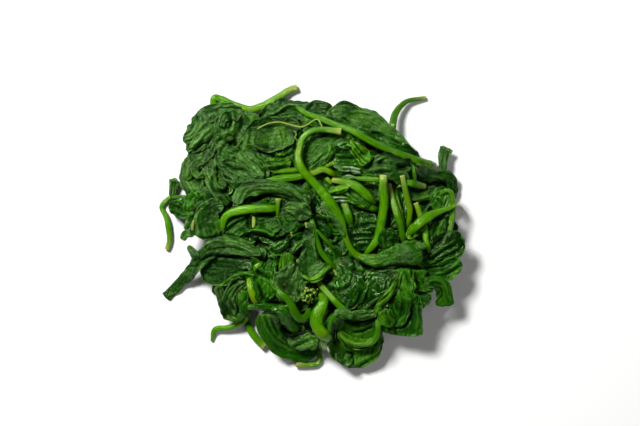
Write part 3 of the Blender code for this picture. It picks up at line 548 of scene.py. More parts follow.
# closed skin over a grid of points: an upper face, a lower face and the rim between them
def thickSheet(grid, thickness):
    along = np.gradient(grid, axis=0)
    across = np.gradient(grid, axis=1)
    normal = np.cross(along, across)
    normal /= np.maximum(np.linalg.norm(normal, axis=2), 1e-9)[:, :, None]
    if normal[:, :, 2].mean() < 0:
        normal = -normal
    rows, cols = grid.shape[:2]
    taper = np.ones((rows, cols))
    for rim, share in enumerate(leafLook["rimTaper"]):
        taper[rim, :] = taper[-1 - rim, :] = np.minimum(taper[rim, :], share)
        taper[:, rim] = taper[:, -1 - rim] = np.minimum(taper[:, rim], share)
    lift = normal * (thickness / 2) * taper[:, :, None]
    verts = np.concatenate(((grid + lift).reshape(-1, 3), (grid - lift).reshape(-1, 3)))
    ids = np.arange(rows * cols).reshape(rows, cols)
    a, b, c, d = ids[:-1, :-1], ids[1:, :-1], ids[1:, 1:], ids[:-1, 1:]
    topFaces = np.stack((a, b, c, d), axis=-1).reshape(-1, 4)
    bottomFaces = np.stack((a, d, c, b), axis=-1).reshape(-1, 4) + rows * cols
    loop = np.concatenate((ids[:-1, 0], ids[-1, :-1], ids[:0:-1, -1], ids[0, :0:-1]))
    after = np.roll(loop, -1)
    rimFaces = np.stack((loop, loop + rows * cols, after + rows * cols, after), axis=-1)
    faces = np.concatenate((topFaces, bottomFaces, rimFaces))
    if np.cross(along, across)[:, :, 2].mean() < 0:
        faces = faces[:, ::-1]
    return verts, faces.tolist()


# ridges that run along the leaf, wander, and die out; some are round and some are sharp
def foldsAlong(seed, run, wide, spacing, edge):
    drift = 0.75 * waves(seed, run * 0.26, wide * 0.55)
    drift = drift + 0.30 * waves(seed + 1, run * 0.7, wide * 0.9)
    wave = np.abs(np.sin(math.pi * (wide / spacing + drift) + seed))
    sharp = edge
    if edge is None:
        sharp = np.clip(0.35 + 0.8 * waves(seed + 2, run * 0.2, wide * 0.3), 0, 1)
    shape = wave ** 0.75 * (1 - sharp) + (1 - wave) ** 1.5 * sharp
    strength = np.clip(0.8 + 0.5 * waves(seed + 3, run * 0.22, wide * 0.4), 0.12, 1.3)
    return shape * strength


# half width of the blade at every point: its outline wanders and its ends are rounded
def bladeHalf(spec, seed, half, share, across, length):
    run = share * length
    side = np.sign(across)
    wander = spec.get("outline", leafLook["outline"])
    outline = 1 + wander * waves(seed + 1, run * 0.45, side * 9.0)
    outline = outline + 0.5 * wander * waves(seed + 11, run * 1.3, side * 7.0)
    startRound, endRound = spec.get("round", (1.0, 1.0))
    roundHere = np.where(share < 0.5, startRound, endRound)
    toEnd = np.minimum(share, 1 - share) * length
    blunt = np.clip(toEnd / (half * leafLook["endLength"] * roundHere + 0.3), 0, 1)
    return half * outline * np.sqrt(np.maximum(1 - (1 - blunt) ** 2, leafLook["endBlunt"]))


# folds, creases, lumps and the form across the blade, in millimetres from its lowest point
def bladeRelief(spec, seed, folds, half, run, wide, across):
    foldHeight = np.minimum(spec.get("foldHeight", leafLook["foldHeight"]), half * leafLook["foldShare"])
    crumple = spec.get("crumple", 1.0)
    creases = np.maximum(1 - 1.6 * np.abs(waves(seed + 5, run * 0.65, wide * 1.5)), 0)
    relief = folds * foldHeight + leafLook["wrinkle"] * crumple * creases
    relief = relief + leafLook["pucker"] * crumple * waves(seed + 6, run * 2.4, wide * 2.4)
    relief = relief + leafLook["lumps"] * crumple * waves(seed + 9, run * 0.42, wide * 0.5)
    ruffle = spec.get("ruffle", leafLook["ruffle"])
    relief = relief + ruffle * np.abs(across) ** 3 * waves(seed + 7, run * 1.0, np.sign(across) * 5)
    relief = relief + spec.get("arch", 0.0) * (1 - across ** 2) + spec.get("cup", 0.0) * across ** 2
    return relief - relief.min()


# half width at which the inner side of a bend would run into itself
def tightest(way, across, length):
    bend = np.gradient(np.unwrap(np.arctan2(way[:, 1], way[:, 0]))) / (length / (len(way) - 1))
    for _ in range(settling["smoothRounds"]):
        bend[1:-1] = (bend[:-2] + 2 * bend[1:-1] + bend[2:]) / 4
    inside = np.sign(across) == np.sign(bend)[:, None]
    return np.where(inside, leafLook["innerBend"] / np.maximum(np.abs(bend)[:, None], 1e-6), 1e6)


# points of a blade that has settled on the heap, and the fields that its material reads
def leafGrid(spec, heap, seed):
    step = spec.get("step", leafLook["step"])
    line, length = smoothLine(toMillimetres(spec["route"]), step, leafLook["leastSteps"])
    way = directions(line)
    side = np.column_stack((-way[:, 1], way[:, 0]))
    t = np.linspace(0, 1, len(line))
    half = np.maximum(softRead(spec["half"], t), leafLook["leastHalf"]) * plan["pixel"] * leafLook["ease"]
    half = half[:, None]
    cols = int(np.clip(round(2 * half.max() / step) // 2 * 2, *leafLook["columns"]))
    share, across = np.meshgrid(t, np.linspace(-1, 1, cols + 1), indexing="ij")
    run = share * length
    wide = across * half
    halfHere = bladeHalf(spec, seed, half, share, across, length)
    folds = foldsAlong(seed, run, wide, spec.get("spacing", leafLook["spacing"]), spec.get("edge"))
    relief = bladeRelief(spec, seed, folds, half, run, wide, across)

    # margins that curl up, or roll under where the value is negative
    left, right = spec.get("curl", (leafLook["curl"], leafLook["curl"]))
    strength = np.clip(0.6 + 0.75 * waves(seed + 8, run * 0.3, np.sign(across) * 3), 0, 1.25)
    curl = np.where(across > 0, left, right) * strength
    radius = np.minimum(leafLook["curlRadius"], halfHere * leafLook["curlShare"])
    angle = np.radians(np.abs(curl))
    flat = halfHere - radius * np.sin(np.minimum(angle, math.pi / 2))
    arc = np.abs(across) * (flat + radius * angle)
    over = np.clip((arc - flat) / radius, 0, None)
    reach = np.where(arc < flat, arc, flat + radius * np.sin(over))
    reach = np.minimum(reach, tightest(way, across, length) * np.abs(across))
    rise = radius * (1 - np.cos(over)) * np.sign(curl)
    rise = rise - min(rise.min(), 0)

    spot = line[:, None, :] + side[:, None, :] * (np.sign(across) * reach)[:, :, None]
    crease = creaseMap.read(spot[:, :, 0], spot[:, :, 1])
    total = relief + rise + crease
    floor = heap.read(spot[:, :, 0], spot[:, :, 1]) + leafLook["gap"] + leafLook["thickness"] / 2
    low = floor - total
    if "root" in spec:
        low = low - spec["root"] * np.clip(1 - share * length / leafLook["rootLength"], 0, 1)
    z = settleSheet(low, step, leafLook["sag"]) + total
    grid = np.dstack((spot, np.maximum(z, leafLook["thickness"] / 2)))

    # painted highlight: the margin is made paler; where it curls over, the paler underside shows
    start, pale = leafLook["rimStart"], leafLook["rimPale"]
    rim = np.clip((np.abs(across) - start) / leafLook["rimWidth"], 0, 1) * pale
    rim = rim + np.clip(over / 1.2, 0, 1) * pale
    tone = spec.get("tone", float(waves(seed, 3.0, 1.0)) * leafLook["leafTone"])
    fields = {"along": share, "across": across, "ridge": folds, "length": run, "wide": wide,
              "crease": crease, "rim": rim * spec.get("rim", 1.0), "tone": np.full(run.shape, tone)}
    return grid, fields


# points, faces and fields of a leaf, which is also added to the heap
def leafParts(spec, heap, seed):
    grid, fields = leafGrid(spec, heap, seed)
    verts, faces = thickSheet(grid, leafLook["thickness"])
    verts[:, 2] = np.maximum(verts[:, 2], 0.0)
    top = grid.copy()
    top[:, :, 2] += leafLook["thickness"] / 2
    heap.add(top)
    return verts, faces, {k: np.tile(f.reshape(-1), 2) for k, f in fields.items()}


def joinParts(parts):
    verts, faces, fields = [], [], {}
    start = 0
    for points, partFaces, partFields in parts:
        verts.append(points)
        faces.extend([i + start for i in face] for face in partFaces)
        start += len(points)
        for name, values in partFields.items():
            fields.setdefault(name, []).append(values)
    return np.concatenate(verts), faces, {name: np.concatenate(v) for name, v in fields.items()}


# how a stem starts and ends
bothSoft = ("soft", "soft")
bothCut = ("cut", "cut")
startCut = ("cut", "soft")
endCut = ("soft", "cut")

stemLook = {
    "coarse": 1.6,          # millimetres between the points at which it settles
    "leastSteps": 6,
    "step": 0.55,
    "fewestRings": 12,
    "sides": 18,
    "leastWidth": (1.2, 1.0),       # pixels, while it settles and for its skin
    "gap": 0.10,
    "sag": 0.012,
    "flatten": 0.88,
    "groove": 0.10,
    "grooveAngle": 0.55,
    "ribs": (5, 0.035),     # how many, and how high as a share of the radius
    "rough": 0.02,
    "ripple": (0.05, 0.03),         # slow and quick, as shares of the radius
    "twist": 0.35,
    "cut": ((0.9, 0.05), (0.55, 0.02), (0.15, 0.12)),    # share of the radius and how far it stands out
    "soft": ((0.85, 0.35), (0.55, 0.7), (0.15, 0.95)),
    "hollow": 0.4,          # how far the middle of a cut face goes in, as a share of the last number
    "capDepth": 0.8,
    "dig": 1.9,             # how far a buried end goes down, as a share of the radius
    "digLength": 5.0,
    "narrowing": 0.20,      # what a buried end loses of its radius
    "narrowLength": 3.0,
    "fade": 1.1,            # millimetres over which the colour of a cut dies out
    "pale": 0.5,
}


# centre line of a stem: settled on the heap, with its buried ends pushed down into it
def stemCentre(spec, heap):
    step, flatten = stemLook["coarse"], stemLook["flatten"]
    line, length = smoothLine(toMillimetres(spec["route"]), step, stemLook["leastSteps"])
    way = directions(line)
    side = np.column_stack((-way[:, 1], way[:, 0]))
    t = np.linspace(0, 1, len(line))
    radius = np.maximum(softRead(spec["width"], t), stemLook["leastWidth"][0]) * plan["pixel"] / 2
    low = np.full(len(line), 0.0)
    for s in np.linspace(-1, 1, 7):
        spots = line + side * (s * radius)[:, None]
        low = np.maximum(low, heap.read(spots[:, 0], spots[:, 1]) + radius * math.sqrt(1 - s * s))
    low += stemLook["gap"]
    z = settleLine(low, step, spec.get("sag", stemLook["sag"]))
    for toEnd, kind in zip((t, 1 - t), spec.get("ends", bothSoft)):
        if kind == "soft":
            near = 1 - np.clip(toEnd * length / stemLook["digLength"], 0, 1)
            z = np.maximum(z - stemLook["dig"] * radius * near ** 1.5, radius * flatten)
    return line, z, length


# points, faces and fields of a stem, which is also added to the heap
def stemParts(spec, heap, seed):
    coarse, z, length = stemCentre(spec, heap)
    sides, flatten = stemLook["sides"], stemLook["flatten"]
    ends = spec.get("ends", bothSoft)
    u = np.linspace(0, 1, max(stemLook["fewestRings"], round(length / stemLook["step"])) + 1)
    centre = np.column_stack((softRead(coarse[:, 0], u), softRead(coarse[:, 1], u), softRead(z, u)))
    radius = np.maximum(softRead(spec["width"], u), stemLook["leastWidth"][1]) * plan["pixel"] / 2
    for toEnd, kind in zip((u, 1 - u), ends):
        if kind == "soft":
            grown = np.clip(toEnd * length / stemLook["narrowLength"], 0, 1)
            radius = radius * (1 - stemLook["narrowing"] + stemLook["narrowing"] * grown)
    way = np.gradient(centre, axis=0)
    way /= np.linalg.norm(way, axis=1)[:, None]
    sideways = np.cross((0, 0, 1.0), way)
    sideways /= np.linalg.norm(sideways, axis=1)[:, None]
    up = np.cross(way, sideways)

    # ribs that twist a little, and a groove along the top
    turn = np.linspace(0, 2 * math.pi, sides, endpoint=False)
    run = u * length
    slow, quick = stemLook["ripple"]
    swell = 1 + slow * waves(seed, run * 0.5) + quick * waves(seed + 1, run * 1.4)
    twist = stemLook["twist"] * waves(seed + 2, run * 0.1)
    angle = turn[None, :] + twist[:, None]
    ribCount, ribHeight = stemLook["ribs"]
    ribs = 1 + ribHeight * np.cos(ribCount * angle)
    ribs = ribs + stemLook["rough"] * waves(seed + 3, angle * 3, run[:, None] * 0.8)
    groove = np.exp(-((turn[None, :] - math.pi / 2) / stemLook["grooveAngle"]) ** 2)
    groove = 1 - spec.get("groove", stemLook["groove"]) * groove
    shape = radius[:, None] * swell[:, None] * ribs * groove
    ring = (centre[:, None, :] + sideways[:, None, :] * (np.cos(turn)[None, :] * shape)[:, :, None]
            + up[:, None, :] * (np.sin(turn)[None, :] * shape * flatten)[:, :, None])

    # the first and last rings close in to a slightly hollow cut face, or to a soft point
    caps = []
    for end, outward, kind in ((0, -way[0], ends[0]), (-1, way[-1], ends[1])):
        cap = []
        for share, move in stemLook[kind]:
            depth = -move * stemLook["hollow"] if kind == "cut" and share < 0.5 else move
            cap.append(centre[end] + (ring[end] - centre[end]) * share
                       + outward * radius[end] * depth * stemLook["capDepth"])
        caps.append(np.array(cap))
    rows = np.concatenate((caps[0][::-1], ring, caps[1]))
    count = len(rows)
    verts = rows.reshape(-1, 3)
    verts[:, 2] = np.maximum(verts[:, 2], 0.0)
    faces = [face[::-1] for face in tubeFaces(count, sides)]

    run = np.concatenate((np.zeros(len(caps[0])), run, np.full(len(caps[1]), length)))
    cut = np.full(count, spec.get("bleach", 0.0))
    for distance, kind in zip((run, length - run), ends):
        if kind == "cut":
            cut = np.maximum(cut, np.exp(-distance / spec.get("fade", stemLook["fade"])))
    fields = {"along": np.repeat(run / length, sides), "length": np.repeat(run, sides),
              "cut": np.repeat(cut, sides), "around": np.tile(np.cos(turn), count),
              "pale": np.full(count * sides, spec.get("pale", stemLook["pale"]))}
    spots = []
    for s in np.linspace(-1, 1, 9):
        spot = centre + sideways * (s * radius)[:, None]
        spot[:, 2] = centre[:, 2] + radius * math.sqrt(1 - s * s) * flatten
        spots.append(spot)
    heap.add(np.array(spots))
    return verts, faces, fields


# shader maths as Python expressions; colours go through Finish.mix
class Wire:
    def __init__(self, finish, socket):
        self.finish = finish
        self.socket = socket

    def math(self, operation, a, b=0.0, clamp=False):
        return self.finish.node("ShaderNodeMath", {"operation": operation, "use_clamp": clamp},
                                {0: a, 1: b})

    def __add__(self, other):
        return self.math("ADD", self, other)

    def __sub__(self, other):
        return self.math("SUBTRACT", self, other)

    def __rsub__(self, other):
        return self.math("SUBTRACT", other, self)

    def __mul__(self, other):
        return self.math("MULTIPLY", self, other)

    def __abs__(self):
        return self.math("ABSOLUTE", self)

    def clamp(self):
        return self.math("ADD", self, 0.0, clamp=True)

    __radd__ = __add__
    __rmul__ = __mul__


class Finish:
    def __init__(self, name):
        self.material = bpy.data.materials.new(name)
        self.material.use_nodes = True
        self.tree = self.material.node_tree
        self.shader = self.tree.nodes["Principled BSDF"]

    def node(self, kind, settings=None, sockets=None, output=0):
        made = self.tree.nodes.new(kind)
        for key, value in (settings or {}).items():
            setattr(made, key, value)
        for key, value in (sockets or {}).items():
            if isinstance(value, Wire):
                self.tree.links.new(value.socket, made.inputs[key])
            else:
                made.inputs[key].default_value = value
        return Wire(self, made.outputs[output])

    def field(self, name):
        return self.node("ShaderNodeAttribute", {"attribute_name": name}, output="Fac")

    def place(self):
        return self.node("ShaderNodeTexCoord", output="Object")

    def noise(self, scale, detail=3.0, rough=0.55, vector=None):
        return self.node("ShaderNodeTexNoise", {},
                         {"Vector": vector or self.place(), "Scale": scale, "Detail": detail,
                          "Roughness": rough})

    def mix(self, share, a, b):
        # the colour sockets of the Mix node are its inputs 6 and 7 and its output 2
        return self.node("ShaderNodeMix", {"data_type": "RGBA"}, {0: share, 6: a, 7: b}, output=2)

    def between(self, value, low, high):
        return self.node("ShaderNodeMapRange", {"interpolation_type": "SMOOTHSTEP"},
                         {"Value": value, "From Min": low, "From Max": high})

    def set(self, name, value):
        if isinstance(value, Wire):
            self.tree.links.new(value.socket, self.shader.inputs[name])
        else:
            self.shader.inputs[name].default_value = value

    def setAll(self, values):
        for name, value in values.items():
            self.set(name, value)


leafFinishes = {
    "deep": {"dark": (0.001, 0.018, 0.0002, 1), "mid": (0.006, 0.062, 0.0005, 1),
             "light": (0.036, 0.150, 0.004, 1), "stain": (0.016, 0.108, 0.0008, 1),
             "rim": (0.080, 0.220, 0.014, 1), "roughness": (0.14, 0.26), "specular": 0.30},
    "grey": {"dark": (0.002, 0.022, 0.0008, 1), "mid": (0.010, 0.062, 0.002, 1),
             "light": (0.064, 0.162, 0.026, 1), "stain": (0.045, 0.145, 0.003, 1),
             "rim": (0.110, 0.215, 0.055, 1), "roughness": (0.22, 0.36), "specular": 0.40},
    "wet": {"dark": (0.0006, 0.014, 0.0002, 1), "mid": (0.005, 0.053, 0.0005, 1),
            "light": (0.030, 0.135, 0.004, 1), "stain": (0.014, 0.100, 0.0008, 1),
            "rim": (0.070, 0.205, 0.012, 1), "roughness": (0.10, 0.19), "specular": 0.62},
    "fresh": {"dark": (0.008, 0.060, 0.0004, 1), "mid": (0.030, 0.138, 0.0012, 1),
              "light": (0.090, 0.245, 0.008, 1), "stain": (0.070, 0.200, 0.002, 1),
              "rim": (0.150, 0.315, 0.024, 1), "roughness": (0.16, 0.27), "specular": 0.32},
    # thin pale strips: their colour is a painted glint of wet sheen
    "silver": {"dark": (0.030, 0.110, 0.015, 1), "mid": (0.110, 0.220, 0.080, 1),
               "light": (0.300, 0.430, 0.240, 1), "stain": (0.110, 0.260, 0.040, 1),
               "rim": (0.260, 0.380, 0.200, 1), "roughness": (0.10, 0.20), "specular": 0.60},
    # a darker green for the lowest leaves and most small folds, painted shade for lying deep in the heap
    "inner": {"dark": (0.0006, 0.012, 0.0002, 1), "mid": (0.004, 0.043, 0.0004, 1),
              "light": (0.020, 0.100, 0.003, 1), "stain": (0.010, 0.072, 0.0006, 1),
              "rim": (0.055, 0.165, 0.009, 1), "roughness": (0.14, 0.25), "specular": 0.34},
}

leafPattern = {
    "shade": (0.0008, 0.008, 0.0003, 1),
    "streaks": (0.55, 0.10, 17.0),      # how fine across and along the blade, and a shift for each leaf
    "lines": (1.9, 0.26, 31.0),
    "patches": 85.0,        # the other scales are to the metre
    "crinkle": 420.0,
    "specks": 950.0,
    "stains": 60.0,
    "wobble": 260.0,
    "gloss": 190.0,
    "veins": (0.23, 1.1),   # side veins to the millimetre, and how far they slant to the rim
    "tint": (0.60, 1.0, 0.38, 1),
    "bump": {"Strength": 0.9, "Distance": 0.0007},
    "inside": {"Subsurface Weight": 0.06, "Subsurface Radius": (0.3, 1.0, 0.1), "Subsurface Scale": 0.0008},
}


def leafMaterial(name):
    look, pattern = leafFinishes[name], leafPattern
    f = Finish("leaf_" + name)
    along, across, ridge = f.field("along"), f.field("across"), f.field("ridge")
    length, rim, leafTone = f.field("length"), f.field("rim"), f.field("tone")
    wide, crease = f.field("wide"), f.field("crease")
    # streaks that run along the blade, coarse and fine
    drawn = []
    for fineAcross, fineAlong, shift in (pattern["streaks"], pattern["lines"]):
        vector = f.node("ShaderNodeCombineXYZ", {},
                        {0: wide * fineAcross, 1: length * fineAlong, 2: leafTone * shift})
        drawn.append(f.noise(1.0, 3.0, 0.6, vector=vector))
    streaks, lines = drawn
    patches = f.noise(pattern["patches"], 4.0)
    crinkle = f.noise(pattern["crinkle"], 4.0, 0.6)
    specks = f.noise(pattern["specks"], 3.0, 0.6)
    mottle = patches * 0.34 + streaks * 0.28 + lines * 0.16 + crinkle * 0.22
    tone = f.between(mottle + leafTone * 0.20, 0.40, 0.60)
    colour = f.mix(tone, look["dark"], look["mid"])
    # stained where the blade has stayed thicker and fresher
    colour = f.mix(f.between(f.noise(pattern["stains"], 2.0), 0.53, 0.68) * 0.55, colour, look["stain"])
    # painted highlight: the ridges of the folds and the raised creases are made lighter, a painted sheen
    lit = f.between(ridge + leafTone + (lines - 0.5) * 1.6, 0.45, 1.10) * 0.58
    colour = f.mix(lit, colour, look["light"])
    crest = f.between(crease + (crinkle - 0.5) * 1.2, 0.30, 1.4)
    colour = f.mix(crest * 0.75, colour, look["light"])
    pale = f.between(specks * 0.6 + crinkle * 0.4, 0.56, 0.68)
    colour = f.mix(pale * 0.45, colour, look["light"])
    dark = f.between(1.0 - (specks * 0.5 + crinkle * 0.5), 0.55, 0.68)
    colour = f.mix(dark * 0.55, colour, look["dark"])
    # a fine net of side veins that leave the midrib at a slant
    halfWay = abs(across)
    wobble = f.noise(pattern["wobble"], 2.0) - 0.5
    pitch, slant = pattern["veins"]
    saw = length * pitch - halfWay * slant + wobble * 0.8
    nearVein = abs(f.node("ShaderNodeMath", {"operation": "FRACT"}, {0: saw}) - 0.5) * 2.0
    sideVein = f.between(nearVein, 0.84, 0.99) * (1.0 - halfWay)
    midrib = f.between(1.0 - halfWay, 0.93, 1.0) * f.between(1.0 - along, 0.2, 0.8)
    veins = (sideVein * 0.6 + midrib * 0.7).clamp()
    colour = f.mix(veins * 0.28, colour, look["rim"])
    # painted highlight along the margin, and the paler underside where the margin curls over
    colour = f.mix((rim * 0.55).clamp(), colour, look["rim"])
    # the blade is fresher green close to its stalk
    colour = f.mix(f.between(1.0 - along, 0.85, 1.0) * 0.35, colour, look["rim"])
    # painted shade: the traced gaps and the valleys between folds turn almost black-green
    gap = f.between(0.0 - crease, 0.3, 2.2)
    valley = f.between(0.34 - ridge + (lines - 0.5) * 0.6, 0.0, 0.30)
    colour = f.mix((gap * 0.92 + valley * 0.72).clamp(), colour, pattern["shade"])
    f.set("Base Color", colour)
    low, high = look["roughness"]
    gloss = f.between(f.noise(pattern["gloss"], 3.0), 0.3, 0.7)
    f.set("Roughness", gloss * (high - low) + low + gap * 0.3)
    f.set("Specular IOR Level", look["specular"])
    f.set("Specular Tint", pattern["tint"])
    f.setAll(pattern["inside"])
    height = crinkle * 0.8 + specks * 0.35 + veins * 0.25 + streaks * 1.1 + lines * 0.8
    f.set("Normal", f.node("ShaderNodeBump", {}, {**pattern["bump"], "Height": height}))
    return f.material


stemFinish = {
    "green": (0.026, 0.145, 0.0002, 1),
    "bright": (0.100, 0.285, 0.001, 1),
    "shade": (0.010, 0.072, 0.0006, 1),
    "cut": (0.260, 0.310, 0.065, 1),
    "yellow": (0.135, 0.230, 0.001, 1),
    "roughness": (0.12, 0.22),
    "specular": 0.50,
    "tint": (0.72, 1.0, 0.35, 1),
    "streaks": (0.10, 2.6, 7.0),        # how fine along and around the stem, and a shift for each stem
    "streakScale": 2.4,
    "blotches": 90.0,
    "yellowing": 45.0,
    "grain": 700.0,
    "bump": {"Strength": 0.55, "Distance": 0.0005},
    "inside": {"Subsurface Weight": 0.05, "Subsurface Radius": (0.5, 1.0, 0.1), "Subsurface Scale": 0.0010},
}


def stemMaterial():
    look = stemFinish
    f = Finish("stem_fresh")
    length, cut, around, pale = f.field("length"), f.field("cut"), f.field("around"), f.field("pale")
    fineAlong, fineAround, shift = look["streaks"]
    stretched = f.node("ShaderNodeCombineXYZ", {},
                       {0: length * fineAlong, 1: around * fineAround, 2: pale * shift})
    streaks = f.noise(look["streakScale"], 4.0, 0.65, vector=stretched)
    blotch = f.noise(look["blotches"], 3.0)
    colour = f.mix(f.between(streaks, 0.35, 0.65), look["green"], look["bright"])
    colour = f.mix(f.between(blotch, 0.50, 0.72) * 0.55, colour, look["shade"])
    colour = f.mix(f.between(f.noise(look["yellowing"], 2.0), 0.52, 0.70) * 0.6, colour, look["yellow"])
    # a stem with a low pale value turns toward the shade colour: partly a darker green, partly painted
    # shade where a stem lies in shadow between others
    colour = f.mix((1.0 - pale) * 0.72, colour, look["shade"])
    # painted shade: both sides of a stem are darker than its top
    flank = f.between(abs(around) + (streaks - 0.5) * 0.6, 0.55, 1.05)
    colour = f.mix(flank * 0.62, colour, look["shade"])
    colour = f.mix((cut * 1.15).clamp(), colour, look["cut"])
    f.set("Base Color", colour)
    low, high = look["roughness"]
    f.set("Roughness", f.between(blotch, 0.3, 0.7) * (high - low) + low)
    f.set("Specular IOR Level", look["specular"])
    f.set("Specular Tint", look["tint"])
    f.setAll(look["inside"])
    height = streaks * 1.2 + f.noise(look["grain"], 2.0) * 0.2
    f.set("Normal", f.node("ShaderNodeBump", {}, {**look["bump"], "Height": height}))
    return f.material


print("materials")
materials = {name: leafMaterial(name) for name in leafFinishes}
materials["stem"] = stemMaterial()


def leaf(node, route, half, finish="deep", **more):
    return {"node": node, "kind": "leaf", "route": route, "half": half, "finish": finish, **more}


def stem(node, route, width, **more):
    return {"node": node, "kind": "stem", "route": route, "width": width, "finish": "stem", **more}


# pieces that stand for no solid: small folds, curls, stubs and threads
def extraLeaf(name, route, half, finish="deep", **more):
    return {**leaf("", route, half, finish, **more), "name": name}


def extraStem(name, route, width, **more):
    return {**stem("", route, width, **more), "name": name}


# lowest leaves, rooted in the core and reaching out to the floor
outerInner = [
    leaf("", [(316, 158), (316, 130), (317, 106)], [6, 12, 12, 5]),
    leaf("", [(345, 155), (343, 128), (343, 107)], [6, 12, 12, 5]),
    leaf("", [(286, 158), (280, 130), (276, 109)], [6, 13, 15, 7]),
    leaf("", [(232, 208), (200, 205), (171, 206)], [7, 10, 9, 4]),
    leaf("", [(250, 280), (228, 290), (211, 290)], [7, 10, 9, 5]),
    leaf("", [(405, 228), (434, 216), (453, 192)], [6, 10, 9, 4]),
    leaf("", [(404, 250), (436, 245), (463, 238)], [7, 12, 12, 6]),
    leaf("", [(396, 262), (413, 276), (431, 291)], [6, 10, 10, 5]),
    leaf("", [(378, 290), (394, 312), (408, 332)], [6, 12, 12, 7]),
    leaf("", [(345, 300), (344, 330), (340, 354)], [6, 13, 13, 6]),
    leaf("", [(292, 300), (284, 322), (280, 342)], [6, 12, 12, 6]),
    leaf("", [(254, 188), (231, 168), (206, 151)], [7, 13, 13, 7]),
    leaf("", [(240, 232), (213, 216), (190, 229)], [7, 11, 11, 6]),
]

# leaves that lie back over the core and show between the upper ones
flaps = [
    leaf("", [(284, 172), (272, 148), (262, 124)], [7, 13, 13, 7]),
    leaf("", [(384, 176), (366, 156), (346, 140)], [7, 12, 12, 6]),
    leaf("", [(244, 196), (264, 199), (294, 203)], [6, 11, 11, 6]),
    leaf("", [(366, 176), (388, 202), (400, 230)], [7, 14, 14, 7]),
    leaf("", [(388, 180), (414, 184), (440, 191)], [6, 11, 11, 6]),
    leaf("", [(404, 204), (424, 218), (440, 238)], [6, 12, 12, 6]),
    leaf("", [(300, 202), (314, 234), (322, 262)], [6, 12, 12, 6]),
    leaf("", [(330, 214), (350, 246), (372, 272)], [7, 13, 13, 6]),
    leaf("", [(248, 236), (274, 246), (302, 252)], [6, 12, 12, 6]),
    leaf("", [(226, 230), (236, 248), (252, 266)], [6, 12, 11, 6]),
    leaf("", [(406, 240), (426, 262), (438, 284)], [6, 11, 10, 5]),
    leaf("", [(298, 266), (312, 286), (326, 308)], [6, 11, 11, 6]),
    leaf("", [(256, 294), (280, 304), (306, 308)], [6, 11, 10, 6]),
    leaf("", [(352, 268), (372, 292), (384, 318)], [6, 12, 12, 6]),
    leaf("", [(426, 179), (438, 184), (449, 189)], [4, 7, 7, 4]),
]

# small folds that fill the gaps between the named leaves, inside an outline of the heap
fill = {
    "outline": [(203, 122), (215, 113), (245, 114), (262, 119), (285, 112), (300, 109), (330, 109),
                (350, 111), (372, 115), (392, 129), (410, 146), (428, 163), (445, 182), (449, 192),
                (447, 205), (446, 218), (454, 234), (457, 250), (450, 262), (438, 270), (430, 282),
                (418, 284), (412, 300), (408, 322), (396, 327), (382, 328), (371, 346), (358, 357),
                (345, 358), (334, 348), (315, 348), (292, 345), (275, 334), (264, 316), (247, 307),
                (236, 308), (230, 294), (224, 282), (209, 274), (218, 254), (213, 236), (206, 222),
                (202, 205), (197, 192), (190, 178), (191, 163), (190, 147), (194, 133)],
    "spacing": 17.0,        # pixels, like the lengths above and below it
    "jitter": 5.0,
    "length": (22, 36),
    "half": (6, 10),
    "endHalf": 0.6,         # share of the half width that is left at the ends
    "bow": 0.3,
    "step": 0.72,           # millimetres between points
    "seed": 12,
    "columns": (185, 470),  # pixels that the folds are spread over
    "rows": (105, 365),
    "greyCorner": 400,      # pixel columns and rows that add up to less are in the grey-green corner
    "wetEach": 3,           # every third fold is a wet one
}

# first seed of each list, and for two of them the step from one entry to the next
seeds = {"inner": 40, "flap": 80, "small": (500, 13), "upper": (200, 11)}
roots = {"inner": 5.0, "flap": 3.0}         # millimetres that the root of a leaf goes into the core
